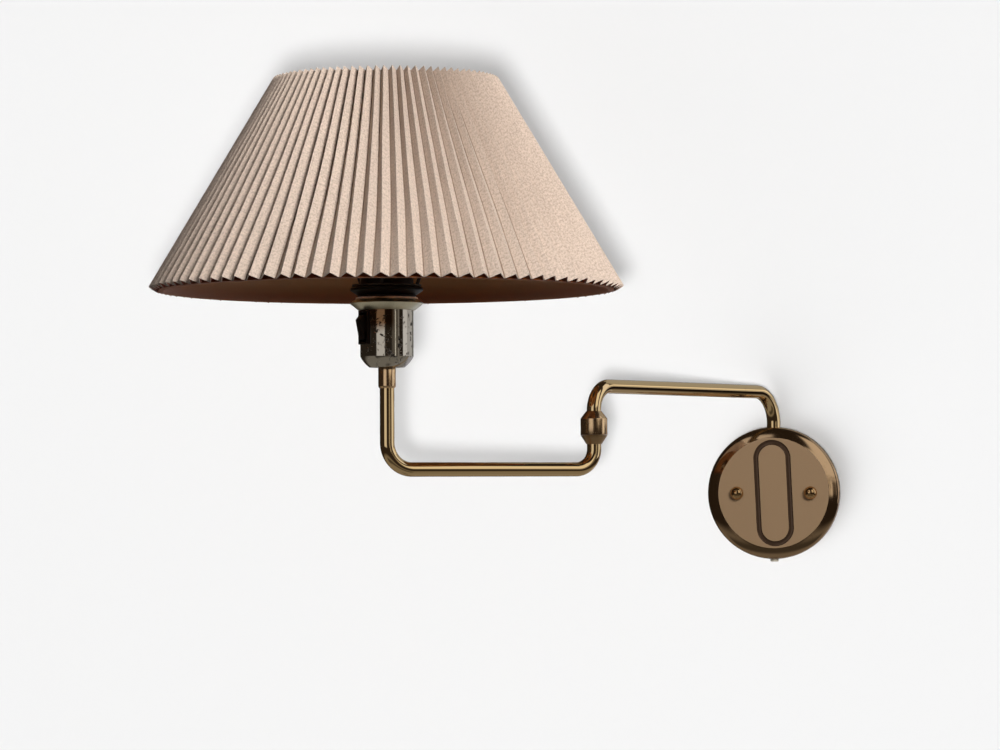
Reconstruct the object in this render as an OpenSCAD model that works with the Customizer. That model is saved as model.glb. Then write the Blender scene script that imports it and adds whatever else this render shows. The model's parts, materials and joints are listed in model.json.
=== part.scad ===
// Swing-arm wall light: a round dished wall plate, two bent tubes joined by a
// barrel-shaped elbow, a switched lampholder and a pleated conical shade.
// The wall is the plane y = 0, the room is towards -Y, and Z points up.
// The origin is the centre of the wall plate's back.

/* [Wall plate] */
// Outside diameter of the dished wall plate
plate_d = 119; // [110:1:150]
// How far the wall plate stands out from the wall
plate_depth = 25; // [24:0.5:32]
// Sheet thickness of the wall plate
plate_wall = 1.5; // [1:0.25:2]
// Radius of the rounded shoulder between the rim and the face
shoulder_r = 8.6; // [6:0.2:10]
// Width across the pressed oval line on the face
groove_span = 33.4; // [30:0.2:38]
// Height of the pressed oval line on the face
groove_h = 95.8; // [84:0.2:96]
// Width of the pressed line itself
groove_w = 4.5; // [3:0.1:6]
// Depth of the pressed line
groove_depth = 1; // [0.5:0.1:1.2]
// How far the pressed line's top leans to the left, in degrees
groove_lean = 2.4; // [-5:0.1:5]
// Diameter of the steel plate screwed to the wall
back_plate_d = 100; // [96:1:104]
// Thickness of the steel plate screwed to the wall
back_plate_t = 2; // [1.5:0.25:2.5]

/* [Plate fastenings] */
// Distance between the two studs that hold the wall plate
stud_spacing = 66; // [60:1:74]
// Diameter of the studs
stud_d = 4; // [3:0.5:5]
// Diameter of the domed cap nuts
cap_d = 12; // [9:0.5:14]
// Height of the straight foot of a cap nut
cap_foot = 1.5; // [1:0.25:3]
// Length of stud inside a cap nut
cap_thread = 5; // [3:0.5:6]
// Distance between the two wall screws
wall_screw_spacing = 48; // [44:1:52]
// Height of the wall screws above the centre
wall_screw_z = 20; // [16:1:24]
// Diameter of the wall screw holes
wall_screw_d = 4.5; // [3.5:0.5:6]

/* [Wall pivot] */
// Distance from the wall to the axis of the wall pivot
pivot_y = 13; // [12.5:0.1:13.5]
// Height of the pivot housing's underside above the centre
housing_z = 36; // [33:0.5:37]
// Height of the pivot housing
housing_h = 15; // [10:0.5:15]
// Width of the pivot housing
housing_w = 24; // [24:0.5:26]
// Depth of the pivot housing, measured from the wall
housing_depth = 21; // [20:0.25:21]
// Diameter of the thrust collar on the tube
collar_d = 17; // [15:0.5:17.5]
// Height of the thrust collar
collar_h = 3; // [2:0.25:3]
// Thickness of the nylon washer under the thrust collar
washer_t = 0.5; // [0.3:0.1:0.8]
// Height of the nut on the tube's lower end
pivot_nut_h = 4; // [3:0.5:5]
// Width across the flats of the pivot nut
pivot_nut_af = 17; // [15:0.5:19]

/* [Arms] */
// Outside diameter of the arm tubes
tube_d = 12; // [10.5:0.25:12]
// Wall thickness of the arm tubes
tube_wall = 1.5; // [1:0.25:1.75]
// Length of the upper arm, from the wall pivot to the elbow
upper_arm_l = 270; // [200:5:400]
// Length of the lower arm, from the elbow to the stem
lower_arm_l = 190; // [140:5:300]
// Height of the upper arm above the wall plate's centre
upper_arm_z = 91; // [85:1:140]
// Centreline radius of the three tight bends
bend_r = 17; // [14:0.5:20]
// Centreline radius of the bend under the lampholder
stem_bend_r = 22; // [16:0.5:30]
// Straight tube between an elbow bend and the elbow itself
elbow_straight = 4.25; // [2:0.25:10]
// Height from the lower arm to the underside of the lampholder
stem_h = 84; // [60:1:140]
// Swing of the upper arm out of the wall's plane, as photographed
upper_arm_angle = 58; // [0:1:180]
// Direction of the lower arm, measured the same way
lower_arm_angle = 31.5; // [0:0.5:180]
// Diameter of the flexible cable inside the tubes
flex_d = 7.2; // [5:0.1:7.2]

/* [Elbow] */
// Diameter of the elbow barrel
elbow_d = 22.7; // [20:0.1:30]
// Length of the elbow barrel
elbow_h = 28; // [28:0.5:36]
// Height of the barrel's conical upper end
elbow_cone_h = 6.5; // [5:0.25:8]
// Height of the barrel's conical lower end, which turns with the lower arm
elbow_foot_h = 7.5; // [6:0.25:8]
// Depth to which a tube enters the elbow
elbow_socket = 4; // [3:0.25:5]
// Wall of the elbow cup
elbow_wall = 2; // [1.25:0.25:2.5]
// Diameter of the hollow spindle inside the elbow
spindle_d = 10; // [10:0.1:11]
// Height of the bush inside the elbow
elbow_bush_h = 4.2; // [3:0.2:5]
// Height of the nut inside the elbow
elbow_nut_h = 4; // [2:0.5:5]

/* [Lampholder] */
// Diameter of the sleeve below the lampholder
sleeve_d = 14.5; // [13.5:0.1:18]
// Length of the sleeve below the lampholder
sleeve_h = 17.2; // [10:0.2:25]
// Diameter of the lampholder's metal shell
shell_d = 43.8; // [43:0.2:50]
// Height of the metal shell
shell_h = 48; // [48:0.5:55]
// Wall of the metal shell
shell_wall = 1.2; // [0.8:0.1:1.6]
// Height of the rounded foot of the shell
shell_foot_h = 10.6; // [8:0.2:14]
// Diameter of the shell's flat underside
shell_foot_d = 29.2; // [28:0.2:34]
// Diameter over the sharp edge of the cup on top of the shell
cup_d = 61; // [58:0.5:66]
// Wall of the cup's neck, where it grips the shell
cup_neck_t = 1.25; // [1:0.05:2]
// Height of the cup's flare, from its neck out to the edge
cup_flare_h = 5.7; // [4:0.1:8]
// Height of the cup's top, from the edge in to the washer
cup_top_h = 3.5; // [2.5:0.1:5]
// Diameter of the cup's flat top
cup_top_d = 51.6; // [50:0.2:54]
// Diameter of the fibre washer under the black flange
gasket_d = 51.2; // [48:0.2:51.4]
// Thickness of the fibre washer
gasket_t = 1.3; // [1:0.1:3]
// Diameter of the black flange
flange_d = 48.4; // [46:0.2:50]
// Thickness of the black flange
flange_t = 2; // [1.5:0.1:5]
// Outside diameter of the threaded skirt
skirt_d = 40; // [38:0.5:42]
// Height of the threaded skirt above its flange
skirt_h = 35; // [30:1:45]
// Pitch of the skirt's thread
skirt_pitch = 2.5; // [1.5:0.25:3]
// Diameter of the lower shade ring
lower_ring_d = 60; // [54:0.5:66]
// Height of the lower shade ring
lower_ring_h = 7; // [6:0.2:9]
// Height of the lower shade ring's conical underside
ring_flare_h = 3.8; // [2.5:0.1:4.4]
// Height of the lower shade ring's bevelled top
ring_top_h = 1; // [0.6:0.1:1.4]
// Diameter of the lower shade ring's flat top, which carries the shade
ring_seat_d = 45; // [43:0.5:50]
// Diameter of the upper shade ring
upper_ring_d = 44; // [43:0.5:50]
// Height of the upper shade ring
upper_ring_h = 5.9; // [4:0.1:8]
// Inside diameter of the screw shell that takes the bulb
screw_d = 26.6; // [26:0.1:27]
// Length of the screw shell
screw_h = 30; // [24:0.5:32]

/* [Switch] */
// Direction that the rocker switch faces, measured like the arms
switch_angle = 40; // [0:1:180]
// Gap between the switch frame and the cup's neck above it
switch_drop = 0.3; // [0.2:0.1:3]
// Width of the switch frame
frame_w = 15.2; // [15:0.2:18]
// Height of the switch frame
frame_h = 28; // [27.6:0.2:29]
// How far the frame's flat front stands out of the round shell
frame_out = 1.2; // [1:0.1:2]
// Thickness of the switch frame
frame_t = 3; // [2.5:0.1:3.2]
// Width of the rocker
rocker_w = 8.4; // [6:0.2:8.6]
// Height of the rocker
rocker_h = 20.4; // [16:0.4:20.4]
// Diameter of the rocker's pin
rocker_pin_d = 2; // [1.5:0.1:2.4]
// How far the rocker's ridge stands out of the frame
rocker_out = 4.7; // [3:0.1:5]
// Height of the rocker's ridge above its pin
rocker_ridge_z = 6.1; // [4:0.1:7]

/* [Shade] */
// Diameter over the pleats at the bottom of the shade
shade_bottom_d = 391; // [300:1:450]
// Diameter over the pleats at the top of the shade
shade_top_d = 186; // [170:1:260]
// Height of the shade, along its axis
shade_h = 172.4; // [150:0.2:240]
// Number of pleats
pleat_count = 90; // [60:2:120]
// Direction of the first ridge of the pleats
pleat_phase = 1.2; // [0:0.2:6]
// Depth of the pleats
pleat_depth = 7.4; // [4:0.1:9]
// Thickness of the pleated cover
cover_t = 1.2; // [0.8:0.1:1.6]
// Thickness of the smooth inner liner
liner_t = 0.8; // [0.4:0.1:1.2]
// Height of the fitter ring above the shade's lower edge
fitter_rise = 0; // [0:0.1:20]
// Thickness of the fitter ring
fitter_t = 1.5; // [1:0.1:2.5]
// Outside diameter of the fitter ring
fitter_d = 57; // [56:0.5:62]
// Diameter of the shade's wires
wire_d = 3; // [2:0.1:4]
// Number of wire arms that carry the shade
spider_arms = 3; // [3:1:5]

/* [Hidden] */
$fn = 64;

// Clearances: fixed joints, running fits, faces that slide, and free gaps
fixed_gap = 0.05;
run_gap = 0.05;
slide_gap = 0.1;
free_gap = 0.3;
// Extra length of a cutting tool past the face that it cuts
past = 1;

plate_r = plate_d / 2;
face_r = plate_r - shoulder_r;
tube_r = tube_d / 2;
tube_bore_r = tube_r - tube_wall;
flex_r = flex_d / 2;

// Heights along the wall pivot, from the washer upwards and the nut downwards
housing_top = housing_z + housing_h;
collar_z = housing_top + washer_t + slide_gap;
spring_washer_t = 1;
pivot_nut_z = housing_z - slide_gap - spring_washer_t - pivot_nut_h;
pivot_foot_z = pivot_nut_z - 1;

// The elbow, the stem and the lampholder
elbow_x = -upper_arm_l * cos(upper_arm_angle);
elbow_y = -pivot_y - upper_arm_l * sin(upper_arm_angle);
elbow_top = upper_arm_z - bend_r - elbow_straight;
elbow_z = elbow_top - elbow_h;
lower_arm_z = elbow_z - elbow_straight - bend_r;
stem_x = elbow_x - lower_arm_l * cos(lower_arm_angle);
stem_y = elbow_y - lower_arm_l * sin(lower_arm_angle);
holder_z = lower_arm_z + stem_h;

// Inside the elbow, measured from its lower end
elbow_r = elbow_d / 2;
elbow_lip_r = tube_r + 0.5;
cavity_r = elbow_r - elbow_wall;
spindle_r = spindle_d / 2;
spindle_bore_r = flex_r + 0.2;
cup_z = elbow_foot_h + free_gap;
cavity_top = elbow_h - elbow_socket - 4;
bush_top = cup_z + elbow_bush_h;
elbow_nut_z = bush_top + 2 * slide_gap + spring_washer_t;
spindle_top = elbow_nut_z + elbow_nut_h + free_gap;

// Up the lampholder, measured from its underside
shell_r = shell_d / 2;
neck_z = shell_h - 1.1;
cup_edge_z = neck_z + cup_flare_h;
gasket_z = cup_edge_z + cup_top_h;
flange_z = gasket_z + gasket_t;
lower_ring_z = flange_z + flange_t;
fitter_z = lower_ring_z + lower_ring_h + slide_gap;
upper_ring_z = fitter_z + fitter_t + slide_gap;
skirt_top = lower_ring_z + skirt_h;
skirt_r = skirt_d / 2;
skirt_bore_r = skirt_r - 3.4;
ring_bore_r = skirt_r + 0.2;
insert_r = skirt_bore_r - 0.2;
insert_h = 13;
insert_z = lower_ring_z + 1.2 - insert_h;
screw_z = insert_z + insert_h;
screw_r = screw_d / 2;
screw_wall = 0.6;

// The switch, with X pointing out of its front
switch_z = neck_z - switch_drop - frame_h / 2;
frame_front = shell_r + frame_out;
switch_pivot = frame_front - 5.5;
frame_back = frame_front - frame_t;
box_wall = 1.6;
box_half_w = rocker_w / 2 + 0.5 + box_wall;
window_half_w = rocker_w / 2 + 0.5;
window_half_h = rocker_h / 2 + 1.9;
box_half_h = window_half_h + 1.1;
box_back = switch_pivot - 6.5;

// The shade, measured from its fitter ring's seat; slope is off the vertical
shade_bottom_r = shade_bottom_d / 2;
shade_top_r = shade_top_d / 2;
shade_z = fitter_z - slide_gap - fitter_rise;
shade_slope = atan((shade_bottom_r - shade_top_r) / shade_h);
shade_slant = shade_h / cos(shade_slope);
liner_depth = pleat_depth + cover_t + 0.15;
wire_r = wire_d / 2;
wire_depth = liner_depth + liner_t + wire_r + 0.1;
wire_inset = wire_r + 2.5;
arm_foot_r = fitter_d / 2 - wire_r;

// Radius and height of a point of the shade: so far up the slope, so deep in
function shade_r(up, depth) =
    shade_bottom_r - up * sin(shade_slope) - depth * cos(shade_slope);
function shade_up(up, depth) =
    shade_z + up * cos(shade_slope) - depth * sin(shade_slope);

// Turns a shape to face the room: its Z points out of the wall, its Y up
module facing_room() {
    rotate([90, 0, 0]) children();
}

// On the wall pivot's axis
module at_pivot(height) {
    translate([0, -pivot_y, height]) children();
}

// With X along the upper arm, from the wall pivot
module along_upper_arm() {
    at_pivot(upper_arm_z) rotate([0, 0, 180 + upper_arm_angle]) children();
}

// On the elbow's axis, from its lower end
module at_elbow(height) {
    translate([elbow_x, elbow_y, elbow_z + height]) children();
}

// With X along the lower arm, from the elbow
module along_lower_arm() {
    translate([elbow_x, elbow_y, lower_arm_z])
        rotate([0, 0, 180 + lower_arm_angle]) children();
}

// On the lampholder's axis, from its underside
module at_holder(height) {
    translate([stem_x, stem_y, holder_z + height]) children();
}

// At the switch's middle, with X pointing out of its front
module at_switch() {
    at_holder(switch_z) rotate([0, 0, 180 + switch_angle]) children();
}

module ring(outer_r, inner_r, height) {
    difference() {
        cylinder(r = outer_r, h = height);
        translate([0, 0, -past]) cylinder(r = inner_r, h = height + 2 * past);
    }
}

module hex_nut(across_flats, inner_r, height) {
    difference() {
        cylinder(d = across_flats / cos(30), h = height, $fn = 6);
        translate([0, 0, -past]) cylinder(r = inner_r, h = height + 2 * past);
    }
}

// A pan-head screw that points down from the origin
module pan_screw(d, length, head_d, head_h) {
    cylinder(d = head_d, h = head_h);
    translate([0, 0, -length]) cylinder(d = d, h = length + 0.1);
}

module tube_section(r, bore_r) {
    difference() {
        circle(r);
        if (bore_r > 0) circle(bore_r);
    }
}

module quarter_bend(radius, start, r, bore_r) {
    rotate([90, 0, 0]) rotate([0, 0, start])
        rotate_extrude(angle = 90) translate([radius, 0]) tube_section(r, bore_r);
}

// A rod or tube that runs along X, with both ends bent down
module bent_tube(run, bend_a, bend_b, leg_a, leg_b, r, bore_r = 0) {
    translate([0, 0, -leg_a])
        linear_extrude(leg_a - bend_a) tube_section(r, bore_r);
    translate([bend_a, 0, -bend_a]) quarter_bend(bend_a, 90, r, bore_r);
    translate([bend_a, 0, 0]) rotate([0, 90, 0])
        linear_extrude(run - bend_a - bend_b) tube_section(r, bore_r);
    translate([run - bend_b, 0, -bend_b]) quarter_bend(bend_b, 0, r, bore_r);
    translate([run, 0, -leg_b])
        linear_extrude(leg_b - bend_b) tube_section(r, bore_r);
}

// An upright oval with straight sides
module upright_oval(width, height) {
    straight = (height - width) / 2;
    square([width, 2 * straight], center = true);
    for (side = [-1, 1]) translate([0, side * straight]) circle(d = width);
}

module oval_line(width) {
    extra = width - groove_w;
    rotate(groove_lean) difference() {
        upright_oval(groove_span + extra, groove_h + extra);
        upright_oval(groove_span - groove_w - width, groove_h - groove_w - width);
    }
}

// Places of the small fastenings on the back plate
stud_x = stud_spacing / 2;
housing_screw_x = housing_w / 2 - 3;
housing_screw_z = housing_z + housing_h / 2;
clamp_z = -40;
clamp_w = 24;
clamp_screw_x = 9;
earth_x = 24;
earth_z = -20;
small_screw_d = 3;
small_hole_r = small_screw_d / 2 + fixed_gap;
countersink_h = 1.6;
countersink_r = 2.8;

module back_plate() {
    color("silver") facing_room() difference() {
        cylinder(d = back_plate_d, h = back_plate_t);
        for (side = [-1, 1]) {
            translate([side * stud_x, 0, -past])
                cylinder(r = stud_d / 2 + fixed_gap, h = back_plate_t + 2 * past);
            translate([side * wall_screw_spacing / 2, wall_screw_z, -past])
                cylinder(d = wall_screw_d, h = back_plate_t + 2 * past);
            translate([side * housing_screw_x, housing_screw_z, 0]) {
                translate([0, 0, -past])
                    cylinder(r = small_hole_r, h = back_plate_t + 2 * past);
                cylinder(r1 = countersink_r + fixed_gap, r2 = small_hole_r, h = countersink_h);
            }
            translate([side * clamp_screw_x, clamp_z, -past])
                cylinder(r = small_hole_r, h = back_plate_t + 2 * past);
        }
        translate([earth_x, earth_z, -past])
            cylinder(r = small_hole_r, h = back_plate_t + 2 * past);
        translate([0, block_z + block_h / 2, -past])
            cylinder(r = small_hole_r, h = back_plate_t + 2 * past);
    }
}

// Half section of the dish, without its holes
module dish_section(inset) {
    square([plate_r - inset, plate_depth - shoulder_r]);
    square([face_r, plate_depth - inset]);
    translate([face_r, plate_depth - shoulder_r]) circle(shoulder_r - inset);
}

plate_hole_r = tube_r + free_gap;
grommet_bore_r = 2.4;
grommet_body_r = 3.1;
grommet_flange_r = 3.75;
grommet_flange_t = 2.3;
drain_x = 7.6;
drain_r = 2.3;

module wall_plate() {
    color("goldenrod") difference() {
        facing_room() difference() {
            union() {
                rotate_extrude() difference() {
                    dish_section(0);
                    dish_section(plate_wall);
                }
                translate([0, 0, plate_depth - plate_wall - groove_depth])
                    linear_extrude(groove_depth + plate_wall / 2)
                        oval_line(groove_w + plate_wall);
            }
            translate([0, 0, plate_depth - groove_depth])
                linear_extrude(groove_depth + past) oval_line(groove_w);
            for (side = [-1, 1]) translate([side * stud_x, 0, 0])
                cylinder(r = stud_d / 2 + free_gap, h = plate_depth + past);
        }
        at_pivot(housing_top) cylinder(r = plate_hole_r, h = plate_r);
        at_pivot(-plate_r - past) cylinder(r = grommet_body_r + fixed_gap, h = plate_r / 3);
        at_pivot(-plate_r - past) translate([drain_x, 0, 0])
            cylinder(r = drain_r, h = plate_r / 3);
    }
}

module plate_studs() {
    color("silver") facing_room() for (side = [-1, 1])
        translate([side * stud_x, 0, 0])
            cylinder(d = stud_d, h = plate_depth + cap_thread);
}

module cap_nut() {
    difference() {
        union() {
            cylinder(d = cap_d, h = cap_foot);
            translate([0, 0, cap_foot]) intersection() {
                sphere(d = cap_d);
                cylinder(d = cap_d + past, h = cap_d);
            }
        }
        translate([0, 0, -past])
            cylinder(r = stud_d / 2 + fixed_gap, h = cap_thread + free_gap + past);
    }
}

module cap_nuts() {
    color("goldenrod") facing_room() for (side = [-1, 1])
        translate([side * stud_x, 0, plate_depth]) cap_nut();
}

module pivot_housing() {
    color("darkgoldenrod") difference() {
        facing_room() difference() {
            translate([-housing_w / 2, housing_z, back_plate_t])
                cube([housing_w, housing_h, housing_depth - back_plate_t]);
            for (side = [-1, 1])
                translate([side * housing_screw_x, housing_screw_z, 0])
                    cylinder(r = small_hole_r, h = housing_screw_l + free_gap);
        }
        at_pivot(housing_z - past)
            cylinder(r = tube_r + run_gap, h = housing_h + 2 * past);
    }
}

housing_screw_l = 8;

module housing_screws() {
    color("silver") facing_room() for (side = [-1, 1])
        translate([side * housing_screw_x, housing_screw_z, 0]) {
            cylinder(r1 = countersink_r, r2 = small_screw_d / 2, h = countersink_h);
            cylinder(d = small_screw_d, h = housing_screw_l);
        }
}

module pivot_washer() {
    color("ivory") at_pivot(housing_top)
        ring(collar_d / 2, tube_r + run_gap, washer_t);
}

// The terminal block stands on the back plate, between the studs
block_w = 30;
block_h = 18;
block_z = -12;
block_depth = 14;
block_pitch = 10;
block_wire_r = 1.7;
block_screw_d = 3;
block_row = 5;
wiring_z = block_z + block_h + free_gap;

module terminal_block() {
    color("ivory") facing_room() difference() {
        translate([-block_w / 2, block_z, back_plate_t])
            cube([block_w, block_h, block_depth]);
        for (pole = [-1, 1]) translate([pole * block_pitch, 0, back_plate_t + block_depth / 2]) {
            translate([0, block_z - past, 0]) rotate([-90, 0, 0])
                cylinder(r = block_wire_r, h = block_h + 2 * past);
            for (row = [-1, 1]) translate([0, block_z + block_h / 2 + row * block_row, 0])
                cylinder(r = block_screw_d / 2 + fixed_gap, h = block_depth);
        }
        translate([0, block_z + block_h / 2, 0])
            cylinder(r = small_hole_r, h = back_plate_t + block_depth + past);
    }
}

module terminal_screws() {
    screw_top = back_plate_t + block_depth - 1;
    color("silver") facing_room() {
        for (pole = [-1, 1]) for (row = [-1, 1])
            translate([pole * block_pitch, block_z + block_h / 2 + row * block_row, 0])
                translate([0, 0, back_plate_t + block_depth / 2 + 0.5])
                    cylinder(d = block_screw_d, h = screw_top - back_plate_t - block_depth / 2);
        translate([0, block_z + block_h / 2, back_plate_t + block_depth])
            pan_screw(small_screw_d, back_plate_t + block_depth, 5.5, 1.8);
    }
}

module earth_screw() {
    color("goldenrod") facing_room() translate([earth_x, earth_z, back_plate_t])
        pan_screw(small_screw_d, back_plate_t, 7, 2.4);
}

clamp_h = 8;
clamp_t = 3;
clamp_gap = 5;
clamp_channel = 10;

module cord_clamp() {
    color("ivory") facing_room() difference() {
        translate([-clamp_w / 2, clamp_z - clamp_h / 2, back_plate_t])
            cube([clamp_w, clamp_h, clamp_gap + clamp_t]);
        translate([-clamp_channel / 2, clamp_z - clamp_h / 2 - past, back_plate_t - past])
            cube([clamp_channel, clamp_h + 2 * past, clamp_gap + past]);
        for (side = [-1, 1]) translate([side * clamp_screw_x, clamp_z, 0])
            cylinder(r = small_hole_r, h = back_plate_t + clamp_gap + clamp_t + past);
    }
}

module clamp_screws() {
    color("silver") facing_room() for (side = [-1, 1])
        translate([side * clamp_screw_x, clamp_z, back_plate_t + clamp_gap + clamp_t])
            pan_screw(small_screw_d, back_plate_t + clamp_gap + clamp_t, 5, 1.8);
}

module cord_grommet() {
    color("wheat") at_pivot(-plate_r) difference() {
        union() {
            translate([0, 0, -grommet_flange_t - slide_gap])
                cylinder(r = grommet_flange_r, h = grommet_flange_t);
            translate([0, 0, -grommet_flange_t])
                cylinder(r = grommet_body_r, h = grommet_flange_t + plate_wall + past);
            translate([0, 0, plate_wall + slide_gap])
                cylinder(r = grommet_flange_r, h = past);
        }
        translate([0, 0, -grommet_flange_t - past])
            cylinder(r = grommet_bore_r, h = grommet_flange_t + plate_wall + 4 * past);
    }
}

module inlet_wiring() {
    color("dimgray") at_pivot(wiring_z)
        cylinder(r = flex_r, h = pivot_foot_z - free_gap - wiring_z);
}

module upper_tube() {
    color("goldenrod") along_upper_arm()
        bent_tube(upper_arm_l, bend_r, bend_r, upper_arm_z - pivot_foot_z,
                  upper_arm_z - elbow_top + elbow_socket, tube_r, tube_bore_r);
}

module thrust_collar() {
    color("darkgoldenrod") at_pivot(collar_z)
        ring(collar_d / 2, tube_r + fixed_gap, collar_h);
}

module pivot_spring_washer() {
    color("gray") at_pivot(pivot_nut_z + pivot_nut_h)
        ring(pivot_nut_af / 2, tube_r + fixed_gap, spring_washer_t);
}

module pivot_nut() {
    color("goldenrod") at_pivot(pivot_nut_z)
        hex_nut(pivot_nut_af, tube_r + fixed_gap, pivot_nut_h);
}

module elbow_cup() {
    socket_z = elbow_h - elbow_socket;
    color("goldenrod") at_elbow(0) rotate_extrude() polygon([
        [cavity_r, cup_z], [elbow_r, cup_z], [elbow_r, elbow_h - elbow_cone_h],
        [elbow_lip_r, elbow_h], [tube_r + fixed_gap, elbow_h],
        [tube_r + fixed_gap, socket_z], [spindle_bore_r, socket_z],
        [spindle_bore_r, cavity_top], [cavity_r, cavity_top]
    ]);
}

module elbow_bush() {
    color("darkgoldenrod") at_elbow(cup_z)
        ring(cavity_r - fixed_gap, spindle_r + run_gap, elbow_bush_h);
}

module upper_wiring() {
    color("dimgray") along_upper_arm()
        bent_tube(upper_arm_l, bend_r, bend_r, upper_arm_z - pivot_foot_z - free_gap,
                  upper_arm_z - elbow_z - spindle_top - free_gap, flex_r);
}

module elbow_spindle() {
    color("darkgoldenrod") at_elbow(0) rotate_extrude() polygon([
        [tube_r + fixed_gap, 0], [elbow_lip_r, 0], [elbow_r, elbow_foot_h],
        [spindle_r, elbow_foot_h], [spindle_r, spindle_top],
        [spindle_bore_r, spindle_top], [spindle_bore_r, elbow_socket],
        [tube_r + fixed_gap, elbow_socket]
    ]);
}

module elbow_spring_washer() {
    color("gray") at_elbow(bush_top + slide_gap)
        ring(cavity_r - 1.4, spindle_r + fixed_gap, spring_washer_t);
}

module elbow_nut() {
    color("goldenrod") at_elbow(elbow_nut_z)
        ring(cavity_r - 1.4, spindle_r + fixed_gap, elbow_nut_h);
}

module lower_tube() {
    color("goldenrod") along_lower_arm() mirror([0, 0, 1])
        bent_tube(lower_arm_l, bend_r, stem_bend_r,
                  bend_r + elbow_straight + elbow_socket, stem_h + stem_thread_h,
                  tube_r, tube_bore_r);
}

// The lower tube's end passes through the shell's floor into its nut
stem_thread_h = 7;
shell_floor = 1.6;
holder_nut_h = 4;
wiring_end = 12;

module lower_wiring() {
    color("dimgray") along_lower_arm() mirror([0, 0, 1])
        bent_tube(lower_arm_l, bend_r, stem_bend_r,
                  elbow_z + spindle_top - lower_arm_z - free_gap,
                  stem_h + wiring_end, flex_r);
}

module stem_sleeve() {
    chamfer = (sleeve_d / 2 - tube_r) * 0.7;
    color("goldenrod") at_holder(-sleeve_h) rotate_extrude() polygon([
        [tube_r + fixed_gap, 0], [sleeve_d / 2 - chamfer, 0],
        [sleeve_d / 2, 1.8 * chamfer], [sleeve_d / 2, sleeve_h],
        [tube_r + fixed_gap, sleeve_h]
    ]);
}

// Points of a smooth curve that leaves a towards b and arrives at c from b
function curve(a, b, c, steps) = [
    for (i = [0 : steps])
        let (t = i / steps) (1 - t) * (1 - t) * a + 2 * t * (1 - t) * b + t * t * c
];

module holder_shell() {
    inner_r = shell_r - shell_wall;
    foot_r = shell_foot_d / 2;
    corner = [shell_r - 1.5, shell_foot_h / 2];
    shift = [-shell_wall, shell_wall / 2];
    steps = 6;
    color("silver") difference() {
        at_holder(0) rotate_extrude() polygon(concat(
            [[tube_r + fixed_gap, 0]],
            curve([foot_r, 0], corner, [shell_r, shell_foot_h], steps),
            [[shell_r, shell_h], [inner_r, shell_h]],
            curve([inner_r, shell_foot_h + shift[1]], corner + shift,
                  [foot_r + shift[0], shell_floor], steps),
            [[tube_r + fixed_gap, shell_floor]]
        ));
        at_switch() {
            translate([frame_back - fixed_gap, -frame_w / 2 - fixed_gap, -frame_h / 2 - fixed_gap])
                cube([shell_r, frame_w + 2 * fixed_gap, frame_h + 2 * fixed_gap]);
            translate([box_back, -box_half_w - fixed_gap, -box_half_h - fixed_gap])
                cube([shell_r, 2 * (box_half_w + fixed_gap), 2 * (box_half_h + fixed_gap)]);
        }
    }
}

module holder_nut() {
    color("goldenrod") at_holder(shell_floor)
        hex_nut(pivot_nut_af, tube_r + fixed_gap, holder_nut_h);
}

module holder_leads() {
    lead_r = 1.3;
    color("brown") for (side = [-1, 1])
        at_holder(wiring_end) rotate([0, 0, 180 + switch_angle])
            translate([0, side * 1.9, 0]) cylinder(r = lead_r, h = insert_z - wiring_end);
}

// Two sheet cones that meet in a sharp edge
module flare_cup() {
    sheet = 1.2;
    grip_r = shell_r + fixed_gap;
    neck_r = grip_r + cup_neck_t;
    edge_r = cup_d / 2;
    top_r = cup_top_d / 2;
    flare_run = edge_r - neck_r;
    top_run = edge_r - top_r;
    // Distances across each cone's sheet, measured level and upright
    flare_across = sheet * norm([flare_run, cup_flare_h]) / cup_flare_h;
    flare_up = sheet * norm([flare_run, cup_flare_h]) / flare_run;
    top_across = sheet * norm([top_run, cup_top_h]) / cup_top_h;
    color("darkseagreen") at_holder(0) rotate_extrude() polygon([
        [grip_r, neck_z], [neck_r, neck_z], [edge_r, cup_edge_z], [top_r, gasket_z],
        [ring_bore_r, gasket_z], [ring_bore_r, gasket_z - sheet],
        [top_r - top_across + sheet * top_run / cup_top_h, gasket_z - sheet],
        [edge_r - max(flare_across, top_across), cup_edge_z],
        [grip_r, neck_z + flare_up - cup_neck_t * cup_flare_h / flare_run]
    ]);
}

module holder_gasket() {
    color("tan") at_holder(gasket_z) ring(gasket_d / 2, ring_bore_r, gasket_t);
}

// Half section of the skirt, with its thread as a row of ridges
module threaded_skirt() {
    thread_depth = 0.8;
    turns = floor((skirt_h - 1) / skirt_pitch);
    color("#1c1a18") at_holder(0) rotate_extrude() polygon(concat(
        [[skirt_bore_r, flange_z], [flange_d / 2, flange_z], [flange_d / 2, lower_ring_z],
         [skirt_r - thread_depth, lower_ring_z]],
        [for (i = [0 : turns - 1]) each [
            [skirt_r, lower_ring_z + (i + 0.5) * skirt_pitch],
            [skirt_r - thread_depth, lower_ring_z + (i + 1) * skirt_pitch]
        ]],
        [[skirt_r - thread_depth, skirt_top], [skirt_bore_r, skirt_top]]
    ));
}

// Depth of the recess under the bulb's foot
contact_recess_h = 4;

module contact_insert() {
    recess_r = 11;
    color("white") at_holder(insert_z) difference() {
        cylinder(r = insert_r, h = insert_h);
        translate([0, 0, insert_h - contact_recess_h])
            cylinder(r = recess_r, h = contact_recess_h + past);
        for (side = [-1, 1]) translate([side * 13.5, 0, -past])
            cylinder(r = 1.2, h = insert_h + 2 * past);
    }
}

module screw_shell() {
    color("goldenrod") at_holder(screw_z) {
        ring(screw_r + screw_wall, screw_r, screw_h);
        ring(insert_r, screw_r, 1);
    }
}

module centre_contact() {
    color("goldenrod") at_holder(screw_z - contact_recess_h) {
        cylinder(r = 3.4, h = contact_recess_h - 1.2);
        translate([0, 0, contact_recess_h - 1.2]) cylinder(r1 = 3.4, r2 = 2, h = 1);
    }
}

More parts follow.
